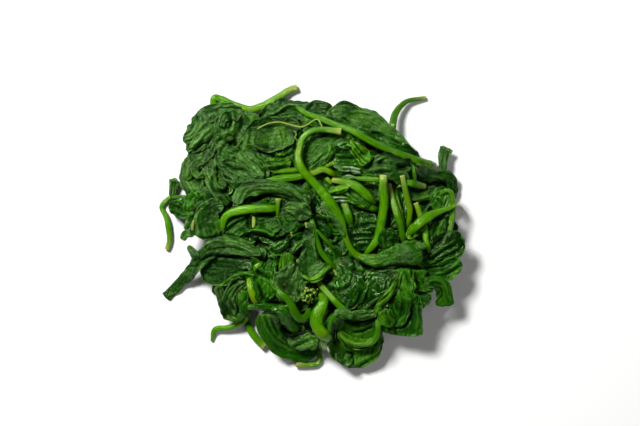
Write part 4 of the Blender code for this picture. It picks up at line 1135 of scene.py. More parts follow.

# leaves and stems over the core, lowest first; the glint strips are thin pale pieces whose colour paints
# the glints of wet sheen
upper = [
    stem("stem_top_left", [(212, 117), (212.5, 98), (217, 97), (228, 101.5), (238, 105.5), (250, 108.5),
                           (262, 105), (270, 101), (280, 95), (290, 88.5), (297, 86)], [6, 7, 7, 8, 8, 7],
         fade=4.5, ends=endCut, pale=0.85),
    stem("stem_top_right",
         [(390, 134), (393, 124), (395, 115), (399, 108), (404, 103), (410, 99.5), (427, 96.5)],
         [9, 8, 6, 5, 4], pale=0.05, fade=1.8, ends=endCut),
    stem("stem_right_strip", [(443, 176), (442.5, 160), (443.5, 152), (447, 148)], [6, 6, 7, 9], pale=0.0,
         fade=0.4, ends=endCut),
    extraLeaf("leaf_right_flag", [(448, 147), (445.5, 154), (443.5, 164), (443, 175)], [6.5, 5, 3.8, 4],
              "grey", round=(0.15, 1.0), spacing=1.5, curl=(40, 40), outline=0.08, edge=0.7),
    stem("stem_left_outer", [(173, 180), (171, 190), (170, 196), (166, 199), (161, 204), (160, 208.5),
                             (163, 214), (166, 222), (168, 240), (165, 250)], [9, 5, 5, 6, 6, 5], pale=0.75,
         fade=2.0, ends=endCut),
    extraLeaf("leaf_left_flag", [(174, 179.5), (172, 187), (170, 197)], [5.5, 3.6, 2.5], "grey",
              round=(0.15, 1.0), spacing=1.6, curl=(30, 30), outline=0.08),
    extraStem("stem_left_branch", [(171, 197), (185, 197), (199, 201)], [4, 4, 4], pale=0.1),
    stem("stem_bottom_left", [(243, 318), (250, 332), (256, 340), (264, 348)], [6, 8, 8], ends=endCut),
    stem("stem_lower_left",
         [(244, 301), (246.5, 312), (244.5, 320), (235, 326), (225, 329), (214, 331), (210.5, 342)],
         [5, 6, 7, 6, 6, 4], pale=0.75),
    stem("stem_bottom",
         [(315, 334), (315.5, 345), (318, 353), (320.5, 361), (315, 366), (305, 366), (296, 365)],
         [4, 5, 5, 6, 8], fade=3.5, ends=endCut),
    extraLeaf("leaf_top_scallop", [(312, 114), (298, 108), (284, 109), (272, 113), (260, 122)],
              [6, 9, 11, 9, 5], "grey", ruffle=1.4, crumple=1.8, curl=(0, 100), outline=0.25),
    extraLeaf("leaf_top_lobe_left", [(303, 122), (312, 113), (322, 110), (333, 114)], [6, 9, 9, 5], "grey",
              ruffle=1.0, tone=-0.5),
    extraLeaf("leaf_top_lobe_right", [(328, 120), (338, 113), (348, 111), (360, 115)], [6, 9, 9, 5], "grey",
              ruffle=1.0, tone=-0.3),
    extraStem("stem_yellow_bit", [(406, 158), (417, 163), (428, 173)], [5, 6, 5], pale=0.6),
    leaf("leaf_upper_right", [(326, 118), (346, 119), (366, 125), (384, 137), (400, 148), (420, 161)],
         [8, 14, 15, 12, 9, 3], "grey", arch=0.6, curl=(90, 0), spacing=3.0, foldHeight=0.9, crumple=1.2,
         tone=0.15, outline=0.08),
    extraLeaf("leaf_midrib_base", [(304, 116), (322, 123), (345, 129), (368, 139)], [4, 8, 8, 4], "deep",
              spacing=1.8, outline=0.2, tone=0.1),
    extraLeaf("leaf_midrib_side", [(345, 127), (372, 138), (398, 148), (418, 157)], [3, 6, 7, 4], "wet",
              spacing=2.0),
    stem("midrib_upper_right", [(297, 107), (302, 111), (308, 115), (320, 119), (331, 124), (350, 131),
                                (370, 142), (392, 152), (413, 160), (435, 166)], [5, 6, 7, 7, 7, 8, 9],
         pale=0.40, fade=1.5, ends=endCut, groove=0.22),
    extraLeaf("leaf_left_fill", [(214, 144), (210, 160), (213, 177), (222, 193)], [8, 12, 12, 8], "grey",
              crumple=1.6, spacing=1.9),
    leaf("leaf_left_low", [(189, 158), (190, 178), (197, 192), (210, 203), (224, 211)], [6, 9, 9, 9, 5],
         "grey", arch=0.8, spacing=1.9, edge=0.7, tone=-0.2),
    extraLeaf("leaf_left_inner", [(207, 158), (211, 174), (217, 189), (229, 204)], [5, 6, 6, 4], "grey",
              arch=0.8, spacing=1.6, edge=0.8),
    leaf("leaf_left_middle", [(214, 142), (200, 155), (191, 168), (186, 180)], [6, 9, 9, 4], "grey",
         arch=0.8, spacing=1.9, edge=0.7, tone=-0.3),
    extraLeaf("leaf_left_curl", [(205, 163), (199, 163), (195, 168), (197, 175), (204, 176)],
              [2, 3, 3.4, 3, 2], "grey", curl=(120, 120)),
    leaf("leaf_left_high", [(224, 125), (210, 133), (200, 141), (187, 151)], [6, 9, 9, 5], "grey", arch=0.8,
         spacing=2.0, tone=0.4),
    leaf("leaf_corner", [(242, 117), (226, 112), (210, 117), (198, 129), (185, 143)], [6, 10, 11, 10, 5],
         "grey", arch=0.8, curl=(0, 90), crumple=1.4, outline=0.14),
    extraLeaf("leaf_corner_fold", [(223, 123), (213, 130), (203, 138), (191, 148)], [3, 5, 5, 3], "grey",
              tone=0.35, arch=0.8, rim=0.6, outline=0.3),
    leaf("leaf_corner_inner", [(244, 112), (236, 122), (228, 134), (222, 150)], [8, 12, 12, 7], "grey",
         arch=0.6, crumple=1.6, tone=0.1),
    extraLeaf("leaf_corner_swirl", [(240, 119), (231, 115), (223, 118), (220, 127), (225, 136), (234, 138)],
              [3, 5, 5, 5, 5, 3], "grey", curl=(120, 60), crumple=1.5),
    extraLeaf("leaf_corner_ribbon", [(247, 111), (250, 126), (247, 141), (239, 154)], [4, 7, 7, 5], "grey",
              spacing=1.7),
    extraLeaf("leaf_corner_bit", [(253, 114), (256, 121), (260, 127)], [3, 4, 3], "fresh", tone=-0.2),
    leaf("leaf_top_cup", [(301, 128), (290, 130), (272, 134), (254, 136), (244, 137)], [9, 14, 16, 15, 6],
         "grey", cup=1.6, curl=(110, 110), spacing=3.6, foldHeight=0.9, outline=0.08, tone=-0.3),
    extraStem("squiggle_top", [(294, 131), (296.5, 134), (295, 138), (297.5, 141), (296.5, 145)],
              [1.2, 1.2, 1.0], pale=0.9, bleach=0.45),
    leaf("leaf_under_long_stem", [(342, 134), (326, 146), (314, 158), (303, 170)], [9, 16, 15, 6], "fresh",
         spacing=2.6, tone=-0.45, round=(0.6, 1.0)),
    extraLeaf("leaf_small_oval", [(334, 150), (342, 145), (352, 141)], [4, 6, 4], "wet", crumple=0.5),
    leaf("leaf_crinkled", [(218, 145), (232, 152), (245, 158), (258, 166), (268, 178)], [6, 10, 10, 9, 4],
         "grey", crumple=2.4, spacing=1.9, outline=0.26, rim=0.3, tone=0.4),
    extraLeaf("leaf_bright_crinkle", [(238, 154), (248, 161), (257, 169), (264, 180)], [6, 9, 9, 5], "grey",
              crumple=3.0, spacing=1.5, tone=0.45, outline=0.4, rim=0.4),
    leaf("leaf_crinkled_low", [(220, 166), (236, 174), (250, 180), (264, 183)], [6, 11, 10, 5], "grey",
         crumple=1.4, outline=0.22),
    extraLeaf("leaf_middle_bit", [(266, 160), (278, 164), (291, 160)], [5, 8, 5], "fresh", tone=-0.35,
              crumple=1.6, spacing=1.8),
    stem("stem_middle",
         [(262, 183), (272, 181), (285, 178.5), (297, 177), (314, 173), (324, 170), (338, 177)],
         [5, 8, 8, 7, 7, 5], pale=0.7),
    extraStem("stem_middle_upper", [(274, 173), (290, 171), (305, 170)], [3, 5, 4], pale=0.4),
    extraStem("stem_middle_tip", [(325, 167), (335, 163), (343, 161.5)], [3, 5, 4], pale=0.5),
    leaf("leaf_wet_top", [(334, 164), (350, 162), (368, 164), (384, 167)], [8, 13, 13, 7], "wet",
         spacing=1.7, edge=0.6, step=0.34, tone=0.2),
    extraLeaf("leaf_bright_bit", [(350, 141), (356, 149), (361, 156), (367, 164)], [6, 7, 7, 5], "fresh",
              spacing=2.6, tone=0.3, outline=0.4, crumple=2.6, curl=(0, 0), round=(0.3, 0.3)),
    leaf("leaf_wet_side", [(306, 182), (320, 196), (332, 212), (338, 226)], [6, 11, 11, 6], "wet",
         spacing=2.0),
    leaf("leaf_wet_centre", [(348, 204), (356, 218), (364, 236), (370, 250)], [8, 16, 18, 9], "wet",
         spacing=1.8, step=0.36, tone=-0.2),
    extraLeaf("leaf_centre_bright", [(306, 190), (304, 202), (298, 212)], [7, 10, 7], "deep", crumple=1.6),
    leaf("leaf_small_curl", [(374, 166), (388, 161), (400, 164), (412, 169)], [5, 8, 8, 4], "grey",
         arch=0.8, curl=(120, 0), spacing=1.9, outline=0.25, crumple=1.6, tone=-0.3),
    extraLeaf("leaf_curl_under", [(372, 171), (388, 172), (400, 178), (405, 188)], [4, 6, 6, 4], "grey",
              spacing=1.8),
    leaf("leaf_right_loop", [(414, 166), (424, 173), (436, 176), (448, 177), (454, 186), (453, 200)],
         [4, 6, 6, 6, 5, 4], "grey", arch=1.0, spacing=1.7, tone=-0.2),
    extraLeaf("leaf_right_across", [(406, 194), (418, 196), (430, 193), (437, 188)], [4, 6, 6, 5], "grey",
              spacing=1.8),
    extraLeaf("leaf_right_shiny", [(436, 210), (440, 199), (445, 187)], [6, 11, 7], "wet", cup=0.6,
              spacing=1.5),
    stem("stem_right_edge",
         [(440, 194), (446, 190.5), (451, 194), (452.5, 205), (452, 215), (450, 225), (446, 241)],
         [4, 5, 5, 6, 6, 5], pale=0.25),
    extraStem("stem_narrow_top", [(339, 180), (358, 179), (381, 180.5)], [3, 5, 6], pale=0.55),
    extraStem("stem_stub_middle", [(344, 203), (347, 212), (350, 224)], [7, 8, 8], pale=0.2, ends=startCut,
              fade=0.8),
    stem("stem_slanting", [(342, 198), (352, 201), (361, 204.5), (379, 210)], [5, 7, 7], pale=0.5),
    extraLeaf("leaf_under_cut", [(346, 188), (358, 197), (370, 205)], [5, 8, 6], "wet", spacing=2.4,
              crumple=2.4, curl=(0, 0), outline=0.35, round=(0.4, 0.4)),
    stem("stem_cut_pale", [(333, 180.5), (342, 182), (352, 185), (361, 191), (374, 203)], [5, 7, 9, 9, 6],
         pale=0.6, fade=3.0, ends=startCut),
    extraStem("stem_cut_branch", [(327, 179), (331, 183)], [6, 5], pale=0.8),
    extraLeaf("leaf_pale_flap", [(326, 194), (337, 191), (349, 187)], [2.5, 3.6, 2], "fresh", tone=0.4,
              outline=0.5, crumple=3.0, curl=(0, 0), spacing=1.5),
    extraLeaf("silver_left", [(331, 198), (338, 197.5), (347, 198)], [1, 1.5, 1], "silver", outline=0.3),
    extraLeaf("silver_left_low", [(334, 202), (340, 201.3), (347, 201.5)], [1, 1.3, 1], "silver",
              outline=0.3),
    extraLeaf("silver_top", [(343, 168), (349, 168), (360, 170.5)], [1, 1.6, 1], "silver", outline=0.3),
    extraLeaf("silver_top_glint", [(350, 171.3), (355, 172), (360, 174)], [1, 1.7, 1], "silver",
              outline=0.3),
    extraLeaf("silver_top_low", [(342, 178), (348, 176.5), (355, 178.5)], [1, 1.4, 1], "silver",
              outline=0.3),
    extraLeaf("leaf_right_folds", [(430, 244), (436, 230), (443, 217)], [6, 9, 6], spacing=1.6, edge=0.7),
    extraStem("stem_stub_right", [(403, 182), (414, 184.5), (424, 186.5)], [6, 8, 6], pale=0.30,
              ends=endCut, fade=1.4),
    extraStem("stem_stub_upper", [(412, 166), (413, 174), (414, 181)], [3, 4, 4], pale=0.0),
    leaf("leaf_right_ridged", [(424, 263), (438, 253), (450, 246), (464, 244)], [8, 14, 15, 11], "wet",
         curl=(0, 120), spacing=1.4, edge=0.6, tone=-0.4, round=(1.0, 0.6), outline=0.12, rim=1.4),
    leaf("leaf_right_rim", [(410, 268), (426, 271), (442, 269), (461, 263)], [7, 11, 11, 6], cup=0.8,
         curl=(110, 110), ruffle=1.2, tone=0.1),
    extraLeaf("leaf_right_under", [(411, 262), (414, 276), (421, 286), (432, 289)], [8, 11, 10, 6],
              spacing=1.8, curl=(0, 100), tone=0.15),
    leaf("leaf_right_tongue", [(423, 282), (433, 281), (441, 287), (444, 296), (445, 306)], [5, 6, 8, 8, 9],
         outline=0.08, round=(1.0, 0.25), tone=0.15),
    extraLeaf("leaf_right_low_flap", [(409, 297), (420, 298), (430, 297)], [7, 9, 5], "grey", crumple=1.5),
    leaf("leaf_lower_right_corner", [(408, 286), (404, 300), (402, 318), (400, 335)], [12, 17, 19, 20],
         "wet", cup=0.8, round=(1.0, 0.2), outline=0.07, spacing=2.0, tone=0.15, crumple=2.0, rim=1.3),
    leaf("leaf_lower_right_long", [(404, 258), (401, 285), (399, 305), (396, 326)], [7, 11, 11, 7], "deep",
         spacing=2.2, rim=1.3, tone=0.45),
    leaf("leaf_lower_right_wide", [(394, 270), (378, 279), (367, 294), (361, 310)], [8, 14, 14, 7], "wet",
         curl=(0, 110), spacing=2.2, tone=-0.35, crumple=1.4),
    leaf("leaf_lower_dark", [(333, 262), (345, 272), (350, 290), (346, 308)], [8, 13, 13, 7], "wet",
         spacing=2.0),
    stem("stem_upright_thin", [(401, 176), (403, 185), (404.5, 192), (407, 202), (409, 212), (407, 229)],
         [5, 6, 6, 5], pale=0.6, fade=3.0, ends=startCut),
    extraStem("stem_upright_shaded", [(395, 192), (399, 210), (404, 230)], [4, 5, 5], pale=0.0),
    stem("stem_upright_dark", [(387.5, 185), (391, 197), (394, 207), (397, 217), (400, 227), (404, 245)],
         [7, 7, 7, 6], pale=0.22, fade=3.2, ends=startCut),
    stem("stem_upright_pale",
         [(382.5, 176), (382, 190), (383, 200), (382.5, 210), (379.5, 228), (376, 240), (366, 253)],
         [8, 9.5, 9, 9, 8, 6], pale=0.8, fade=2.0, ends=startCut),
    extraLeaf("leaf_between_uprights", [(384, 228), (388, 240), (394, 250)], [6, 10, 8], "deep",
              crumple=2.4, spacing=1.4),
    stem("stem_right_down", [(415, 203), (418, 211), (421, 220), (424, 230), (425, 240), (429, 251)],
         [5, 7, 6, 5], pale=0.8, ends=startCut, fade=0.8),
    extraLeaf("leaf_reach_base", [(406, 238), (414, 230), (424, 222)], [3, 6, 3], "fresh", tone=0.4),
    stem("stem_right_reach",
         [(409, 233), (414, 227), (421, 220.5), (430, 215), (438, 211.5), (447, 208.5), (458, 204)],
         [7, 10, 10, 7, 5, 3], pale=0.95),
    extraStem("stem_right_tail", [(457, 204.5), (461, 206), (465, 209)], [1.8, 1.5, 1.2], pale=1.0,
              fade=60.0, ends=bothCut),
    extraLeaf("leaf_west", [(206, 213), (192, 210), (179, 208), (168, 206)], [8, 10, 10, 6], "deep",
              tone=0.1, crumple=2.2, outline=0.2, rim=0.3, spacing=1.7),
    extraLeaf("leaf_west_side", [(204, 194), (194, 205), (197, 219)], [6, 9, 6], "deep", tone=0.25,
              crumple=2.4, outline=0.3, rim=0.2, spacing=1.6),
    extraLeaf("leaf_left_streak", [(224, 205), (207, 210), (196, 221), (191, 235)], [5, 9, 9, 5], "grey"),
    extraLeaf("leaf_left_hook", [(183, 240), (187, 234), (195, 233)], [3, 4, 4], "grey", round=(0.3, 1.0)),
    leaf("leaf_left_tongue", [(213, 202), (208, 214), (207, 226), (208, 240)], [6, 12, 14, 11], "grey",
         spacing=3.0, foldHeight=0.7, crumple=1.2, arch=0.3, outline=0.12, tone=0.15, curl=(20, 20)),
    extraLeaf("leaf_left_fold", [(224, 236), (236, 226), (249, 214)], [5, 9, 5], "deep", spacing=1.6,
              edge=0.7),
    leaf("leaf_oval", [(262, 267), (244, 267), (222, 270), (201, 275)], [7, 13, 15, 9], cup=0.9,
         curl=(100, 100), spacing=4.0, foldHeight=0.5, crumple=0.6, outline=0.05, rim=1.4, tone=-0.5),
    extraLeaf("leaf_pointed_tip", [(219, 305), (219.5, 297), (219, 286)], [1.2, 3.5, 6], "grey",
              round=(0.2, 1.0), outline=0.04, tone=0.3),
    leaf("leaf_long_tail",
         [(262, 254), (242, 247), (222, 246), (208, 252), (198, 262), (188, 274), (177, 285), (164, 299)],
         [2, 7, 9, 8, 7, 6, 5, 5], "grey", arch=0.8, spacing=1.5, edge=0.7, crumple=1.5, round=(1.8, 0.2)),
    extraLeaf("leaf_tail_hook", [(188, 246), (193, 251), (198, 258)], [2, 3.5, 4], "grey"),
    leaf("leaf_grey_cup", [(310, 219), (295, 216), (278, 217), (262, 223), (245, 230)], [7, 15, 15, 11, 5],
         "deep", cup=1.4, spacing=3.0, foldHeight=0.9, crumple=1.0, curl=(0, 110), tone=-0.2),
    extraLeaf("leaf_centre_scrap", [(270, 250), (280, 246), (290, 243)], [4, 7, 4], "wet", rim=1.4),
    extraLeaf("leaf_bright_folds", [(287, 252), (288, 262), (287, 274)], [5, 8, 6], "fresh", spacing=1.5,
              edge=0.8, tone=-0.1),
    extraLeaf("leaf_fold_light", [(292, 253), (297, 245), (305, 240)], [2, 3, 2], "grey", tone=0.3),
    stem("stem_centre_left", [(223, 230), (225, 219), (230, 214), (237, 211.5), (252, 209), (277, 208.5)],
         [5, 8, 9, 8.5, 8], pale=1.0),
    extraStem("stem_centre_stub", [(278.5, 199), (278.5, 206), (278, 215)], [6, 4, 4], pale=0.7,
              ends=startCut, fade=0.8),
    leaf("leaf_arched_ribbon",
         [(237, 204), (241, 195), (250, 188.5), (266, 187), (282, 189), (296, 194), (309, 205)],
         [5, 7, 7, 7, 7, 5], "grey", arch=0.6, spacing=1.15, foldHeight=0.8, crumple=0.5, outline=0.10,
         edge=0.3, step=0.4),
    leaf("leaf_lower_left", [(248, 282), (237, 292), (233, 306), (237, 322)], [8, 12, 12, 6], "grey",
         crumple=2.4, spacing=1.7, ruffle=1.4, outline=0.28),
    extraLeaf("leaf_lower_left_side", [(243, 290), (243, 302), (246, 314)], [4, 6, 4], "deep", crumple=2.0),
    extraStem("stem_lower_stub", [(249.5, 279), (252, 288), (255, 296), (258, 304)], [7, 9, 8], pale=1.0),
    extraStem("stem_left_bit", [(250, 272), (256, 267), (263, 262)], [6, 6, 4], pale=0.5),
    leaf("leaf_zigzag", [(273, 260), (268, 274), (263, 290), (262, 304)], [7, 10, 10, 6], crumple=2.6,
         outline=0.34, rim=0.3, spacing=1.7),
    leaf("leaf_wrinkled", [(298, 262), (295, 274), (291, 288), (290, 302)], [8, 13, 14, 8], "grey",
         crumple=2.8, spacing=2.3, tone=0.9, edge=0.8, outline=0.28),
    stem("stem_lower_middle", [(316, 278), (322, 286), (329, 294), (337, 302), (344, 309), (354, 317)],
         [6, 7, 7, 6], pale=0.45),
    extraLeaf("leaf_dark_across", [(248, 306), (270, 307), (290, 307)], [2.5, 4, 3.5], "deep", arch=1.4,
              curl=(-100, -100), spacing=1.6, outline=0.08, tone=0.2),
    extraLeaf("leaf_dark_round", [(272, 309), (283, 313), (288, 320), (293, 327), (298, 331)],
              [3.5, 5, 6, 6, 5], "wet", arch=2.2, curl=(-110, -110), spacing=1.6, outline=0.06, tone=0.3),
    stem("stem_hook",
         [(277, 286), (281, 292), (288, 298), (292, 304), (295, 311), (300, 317), (307, 316), (309, 309)],
         [5, 7, 8, 9, 9, 7], pale=0.0),
    leaf("leaf_bottom_arch", [(267, 311), (269, 327), (280, 343), (296, 351), (318, 351)],
         [10, 11, 11, 11, 9], spacing=1.35, foldHeight=1.1, edge=0.35, rim=0.5, tone=0.2, outline=0.10,
         crumple=0.8),
    extraLeaf("leaf_bottom_patch", [(288, 338), (302, 343), (318, 345)], [4, 8, 7], "grey", crumple=2.2,
              spacing=1.6, tone=0.2, outline=0.3, rim=0.2),
    leaf("leaf_bottom_round", [(355, 313), (355, 326), (355, 341), (356, 355), (356, 369)],
         [17, 24, 26, 24, 17], cup=1.4, curl=(130, 130), spacing=3.4, foldHeight=0.7, outline=0.04,
         tone=0.6, rim=1.2, crumple=0.8),
    extraLeaf("leaf_bottom_fold", [(338, 331), (347, 340), (360, 344.5), (376, 340)], [3, 5, 5, 3], "fresh",
              arch=1.0),
    extraLeaf("leaf_bottom_curl", [(336, 352), (340, 359), (347, 362), (350, 354)], [3, 4, 4, 3], "grey",
              tone=0.2),
    extraLeaf("leaf_left_of_round", [(345, 313), (335, 316), (331, 328), (331, 342)], [3, 5, 5, 4], "deep",
              arch=1.2, tone=0.2),
    extraStem("stem_bottom_stub", [(323, 328), (324, 340), (323.5, 352)], [8, 8, 7], pale=0.85),
    stem("stem_thick", [(321, 294), (323.5, 300), (321, 307), (317, 315), (318, 326), (328, 337)],
         [8, 12, 13, 12, 11], pale=0.6),
    stem("stem_lower_right", [(377, 308), (377.5, 320), (377, 332), (373, 340), (366, 343.5), (354, 343)],
         [5, 6, 6, 5, 4], pale=0.25),
    extraLeaf("leaf_silver_fold", [(350, 312), (363, 314), (377, 311)], [3, 5, 3], "grey", tone=0.5,
              spacing=1.2),
    extraLeaf("leaf_pale_edge", [(398, 272), (394, 284), (388, 293), (381, 301), (374, 311)],
              [2, 3, 3.5, 3.5, 2.5], "fresh", tone=0.3),
    extraLeaf("leaf_round_top", [(334, 312), (342, 310), (352, 315)], [3, 4, 3], "grey", tone=0.4),
    stem("stem_olive", [(311, 217), (313, 225), (315, 235), (318, 245), (322, 253), (335, 268)],
         [5, 6, 6, 5], pale=0.0),
    extraStem("stem_olive_side", [(317, 230), (325, 239), (334, 248)], [3, 4, 3], pale=0.0),
    leaf("leaf_hanging_cup", [(310, 222), (309, 238), (309, 252), (310, 264), (313, 278)],
         [3, 5, 7, 12, 13], "grey", curl=(100, 60), spacing=4.0, foldHeight=0.4, crumple=0.6, outline=0.06,
         round=(1.0, 0.9), tone=0.1),
    extraLeaf("leaf_cup_inside", [(308, 272), (317, 270), (325, 263)], [4, 6, 3], "grey", tone=0.7,
              crumple=1.4),
    extraLeaf("leaf_cup_lip", [(303, 275), (313, 279), (322, 274), (330, 265)], [1.5, 2.2, 3, 2], "fresh",
              tone=0.3),
    stem("stem_long", [(341, 132.5), (322, 130.5), (312, 132), (304, 137.5), (300, 147), (298.5, 159),
                       (303, 171), (311, 180), (322, 192), (333, 207), (341, 220), (344, 233), (349, 246),
                       (356, 254.5), (366, 258.5), (384, 259)], [7, 6, 6, 7, 8, 8, 9, 10, 8, 6, 7, 9, 9],
         pale=0.6, fade=3.0, ends=startCut),
    extraLeaf("leaf_stem_wing", [(322, 202), (330, 214), (339, 226), (344, 236)], [2, 3, 3, 2], "grey",
              tone=0.6, arch=0.6),
    leaf("leaf_rolled", [(358, 256), (374, 260), (390, 257.5), (405, 253.5), (421, 252)], [3, 6, 9, 11, 9],
         "fresh", arch=1.2, curl=(-120, -120), spacing=1.7, crumple=1.0, tone=-0.55, edge=0.7,
         round=(1.0, 0.4)),
    extraLeaf("leaf_rolled_tip", [(414, 244), (420, 245), (424, 243)], [3, 4, 3], "grey", tone=0.4),
    extraStem("thread_top", [(258, 129), (268, 124), (280, 122.5), (290, 125), (301, 127.5), (308, 125),
                             (314, 121), (318.5, 121), (322, 128)], [1.4, 1.3, 1.5, 1.3], pale=1.0,
              sag=0.02, bleach=0.7),
    extraStem("crumb_pale_top", [(315.5, 139.5), (318.5, 138.5)], [3, 3], pale=1.0, bleach=0.75),
    extraStem("crumb_pale_right", [(397, 188), (399, 186)], [3, 3], pale=1.0, bleach=0.75),
    extraStem("crumb_pale_centre", [(298, 260), (300.5, 264)], [4.5, 4], pale=1.0, bleach=0.75),
    extraStem("crumb_pale_low", [(334, 270), (337, 275)], [3.5, 3.5], pale=0.9, bleach=0.7),
    extraStem("crumb_pale_dark", [(306, 223), (307, 227)], [3, 3], pale=1.0, bleach=0.7),
    extraStem("crumb_pale_fold", [(291.5, 232), (292.5, 235.5)], [3, 3], pale=1.0, bleach=0.7),
    extraStem("stem_light_edge", [(194.5, 221), (193.5, 226), (193, 230)], [3, 3.5, 2.5], pale=1.0,
              bleach=0.7),
    extraStem("stub_light_left", [(254, 217), (254.5, 222), (254, 227)], [3, 4, 3], pale=1.0, bleach=0.6),
    extraLeaf("leaf_cup_sheen", [(286, 208), (299, 210), (311, 217)], [5, 8, 5], "grey", tone=0.75,
              spacing=3.0, crumple=2.0, outline=0.3, curl=(0, 0)),
    extraLeaf("leaf_shiny_low", [(381, 309), (386, 316), (391, 325)], [5, 7, 4], "fresh", tone=-0.1,
              crumple=3.2, curl=(0, 0), outline=0.4, spacing=2.2),
    extraLeaf("silver_top_wide", [(334, 166), (341, 168), (350, 170.5)], [1.6, 2.4, 1.6], "silver",
              tone=-0.6, curl=(0, 0), crumple=3.0, outline=0.5, spacing=1.4),
    extraLeaf("leaf_glint_left", [(243, 268), (248, 266), (252, 269)], [3, 4, 3], "silver", tone=-0.3,
              crumple=3.0, curl=(0, 0), outline=0.5),
]

core = {
    "radii": (50.0, 45.0, 6.6),     # millimetres
    "lift": 6.0,            # height of its middle
    "rings": 40,
    "spokes": 110,
    "pole": 0.02,           # angle at the top and the bottom that the caps close
    "lobes": (5, 0.07),
    "smallLobes": (9, 0.05),
    "between": 5,           # steps from ring to ring in the height map
}


# packed inside of the heap: a crumpled closed body, flat where it rests
def coreParts(heap):
    rings, spokes = core["rings"], core["spokes"]
    down, turn = np.meshgrid(np.linspace(core["pole"], math.pi - core["pole"], rings),
                             np.linspace(0, 2 * math.pi, spokes, endpoint=False), indexing="ij")
    (lobes, lobeSize), (smallLobes, smallSize) = core["lobes"], core["smallLobes"]
    lump = 1 + lobeSize * np.sin(lobes * turn + 1)
    lump = lump + smallSize * np.sin(smallLobes * turn + 4 * np.cos(down))
    x = core["radii"][0] * np.sin(down) * np.cos(turn) * lump
    y = core["radii"][1] * np.sin(down) * np.sin(turn) * lump
    crumple = 0.9 * np.abs(waves(3, x * 0.35, y * 0.35)) + 0.5 * np.abs(waves(4, x * 0.9, y * 0.9))
    cx, cy = restingSpot[0] / plan["mm"], restingSpot[1] / plan["mm"]
    crease = creaseMap.read(x + cx, y + cy) * (np.cos(down) > 0)
    z = core["lift"] + core["radii"][2] * np.cos(down) - crumple * (np.cos(down) > -0.2) + crease
    verts = np.stack((x + cx, y + cy, np.maximum(z, 0.0)), axis=-1)
    heap.add(verts[: rings // 2])
    steps = core["between"]
    for ring in range(1, steps):
        above, below = verts[: rings // 2], verts[1: rings // 2 + 1]
        heap.add((above * (steps - ring) + below * ring) / steps)
    flat = verts.reshape(-1, 3)
    fields = {"along": np.full(len(flat), 0.5), "across": np.sin(flat[:, 0] * 0.5),
              "ridge": 0.3 + 0.3 * np.sin(flat[:, 1] * 0.7), "length": flat[:, 1],
              "wide": flat[:, 0], "crease": crease.reshape(-1),
              "rim": np.zeros(len(flat)), "tone": np.full(len(flat), -0.3)}
    return flat, tubeFaces(rings, spokes), fields


# small pale buds that cling to the thick stem
buds = {
    "spots": [(302.5, 294.5), (305.5, 290.5), (308.5, 293.5), (306.5, 297.5), (303.5, 299.5),
              (310.5, 297.5), (308.5, 301.5), (312.5, 292.5), (313.5, 289.5), (316.5, 291.5),
              (311.5, 301.5), (315.5, 294.5), (317.5, 288.5), (306.5, 287.5), (304.5, 292.5),
              (307.5, 295.5), (305.5, 299.5), (310.5, 294.5), (311.5, 289.5), (314.5, 292),
              (309.5, 299.5), (312.5, 298.5), (308.5, 289.5), (303.5, 296.5)],
    "radius": 0.74,         # millimetres
    "unlike": 0.35,         # how much one bud differs from the next
    "rows": 7,
    "spokes": 10,
    "pole": 0.15,
    "sepals": (3, 0.25),
    "cut": (0.36, 0.3),     # how pale they are, and how much that differs
}


def budParts(heap):
    parts = []
    down = np.linspace(buds["pole"], math.pi - buds["pole"], buds["rows"])
    turn = np.linspace(0, 2 * math.pi, buds["spokes"], endpoint=False)
    sepals, sepalSize = buds["sepals"]
    paleness, paleSpread = buds["cut"]
    for number, (x, y) in enumerate(toMillimetres(buds["spots"])):
        radius = buds["radius"] * (1 + buds["unlike"] * float(waves(number, 2.0, 1.0)))
        z = float(heap.read(np.array(x), np.array(y))) + radius * 0.7
        ring = np.sin(down)[:, None] * radius * (1 + sepalSize * np.sin(sepals * turn + number))[None, :]
        high = z + np.cos(down)[:, None] * radius + 0 * ring
        verts = np.stack((x + ring * np.cos(turn), y + ring * np.sin(turn), high), axis=-1).reshape(-1, 3)
        count = len(verts)
        cut = paleness + paleSpread * math.sin(number * 2.1)
        parts.append((verts, tubeFaces(len(down), len(turn)),
                      {"length": np.full(count, x), "cut": np.full(count, cut),
                       "around": np.zeros(count), "pale": np.full(count, 1.0)}))
        heap.add(verts)
    return joinParts(parts)


def addPiece(name, parts, finish, node=None):
    verts, faces, fields = parts
    piece = meshObject(name, verts, faces, fields, materials[finish])
    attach(piece, "root")
    if node:
        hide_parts(node)
    return piece


def insideOutline(x, y, outline):
    inside = False
    for (x0, y0), (x1, y1) in zip(outline, outline[1:] + outline[:1]):
        if (y0 > y) != (y1 > y) and x < (x1 - x0) * (y - y0) / (y1 - y0) + x0:
            inside = not inside
    return inside


# short folded leaves that close the gaps between the long ones, laid in a random order
def fillLeaves():
    rng = np.random.default_rng(fill["seed"])
    jitter, outline = fill["jitter"], fill["outline"]
    made = []
    for x in np.arange(*fill["columns"], fill["spacing"]):
        for y in np.arange(*fill["rows"], fill["spacing"]):
            middle = np.array((x + rng.uniform(-1, 1) * jitter, y + rng.uniform(-1, 1) * jitter))
            turn = rng.uniform(0, math.pi)
            length = rng.uniform(*fill["length"])
            bow = rng.uniform(-fill["bow"], fill["bow"])
            half = rng.uniform(*fill["half"])
            way = np.array((math.cos(turn), math.sin(turn))) * length / 2
            side = np.array((-way[1], way[0])) * bow
            ends = (middle - way, middle + way)
            if all(insideOutline(*spot, outline) for spot in (middle, *ends)):
                endHalf = half * fill["endHalf"]
                made.append(leaf("", [ends[0], middle + side, ends[1]], [endHalf, half, endHalf],
                                 step=fill["step"]))
    return [made[i] for i in rng.permutation(len(made))]


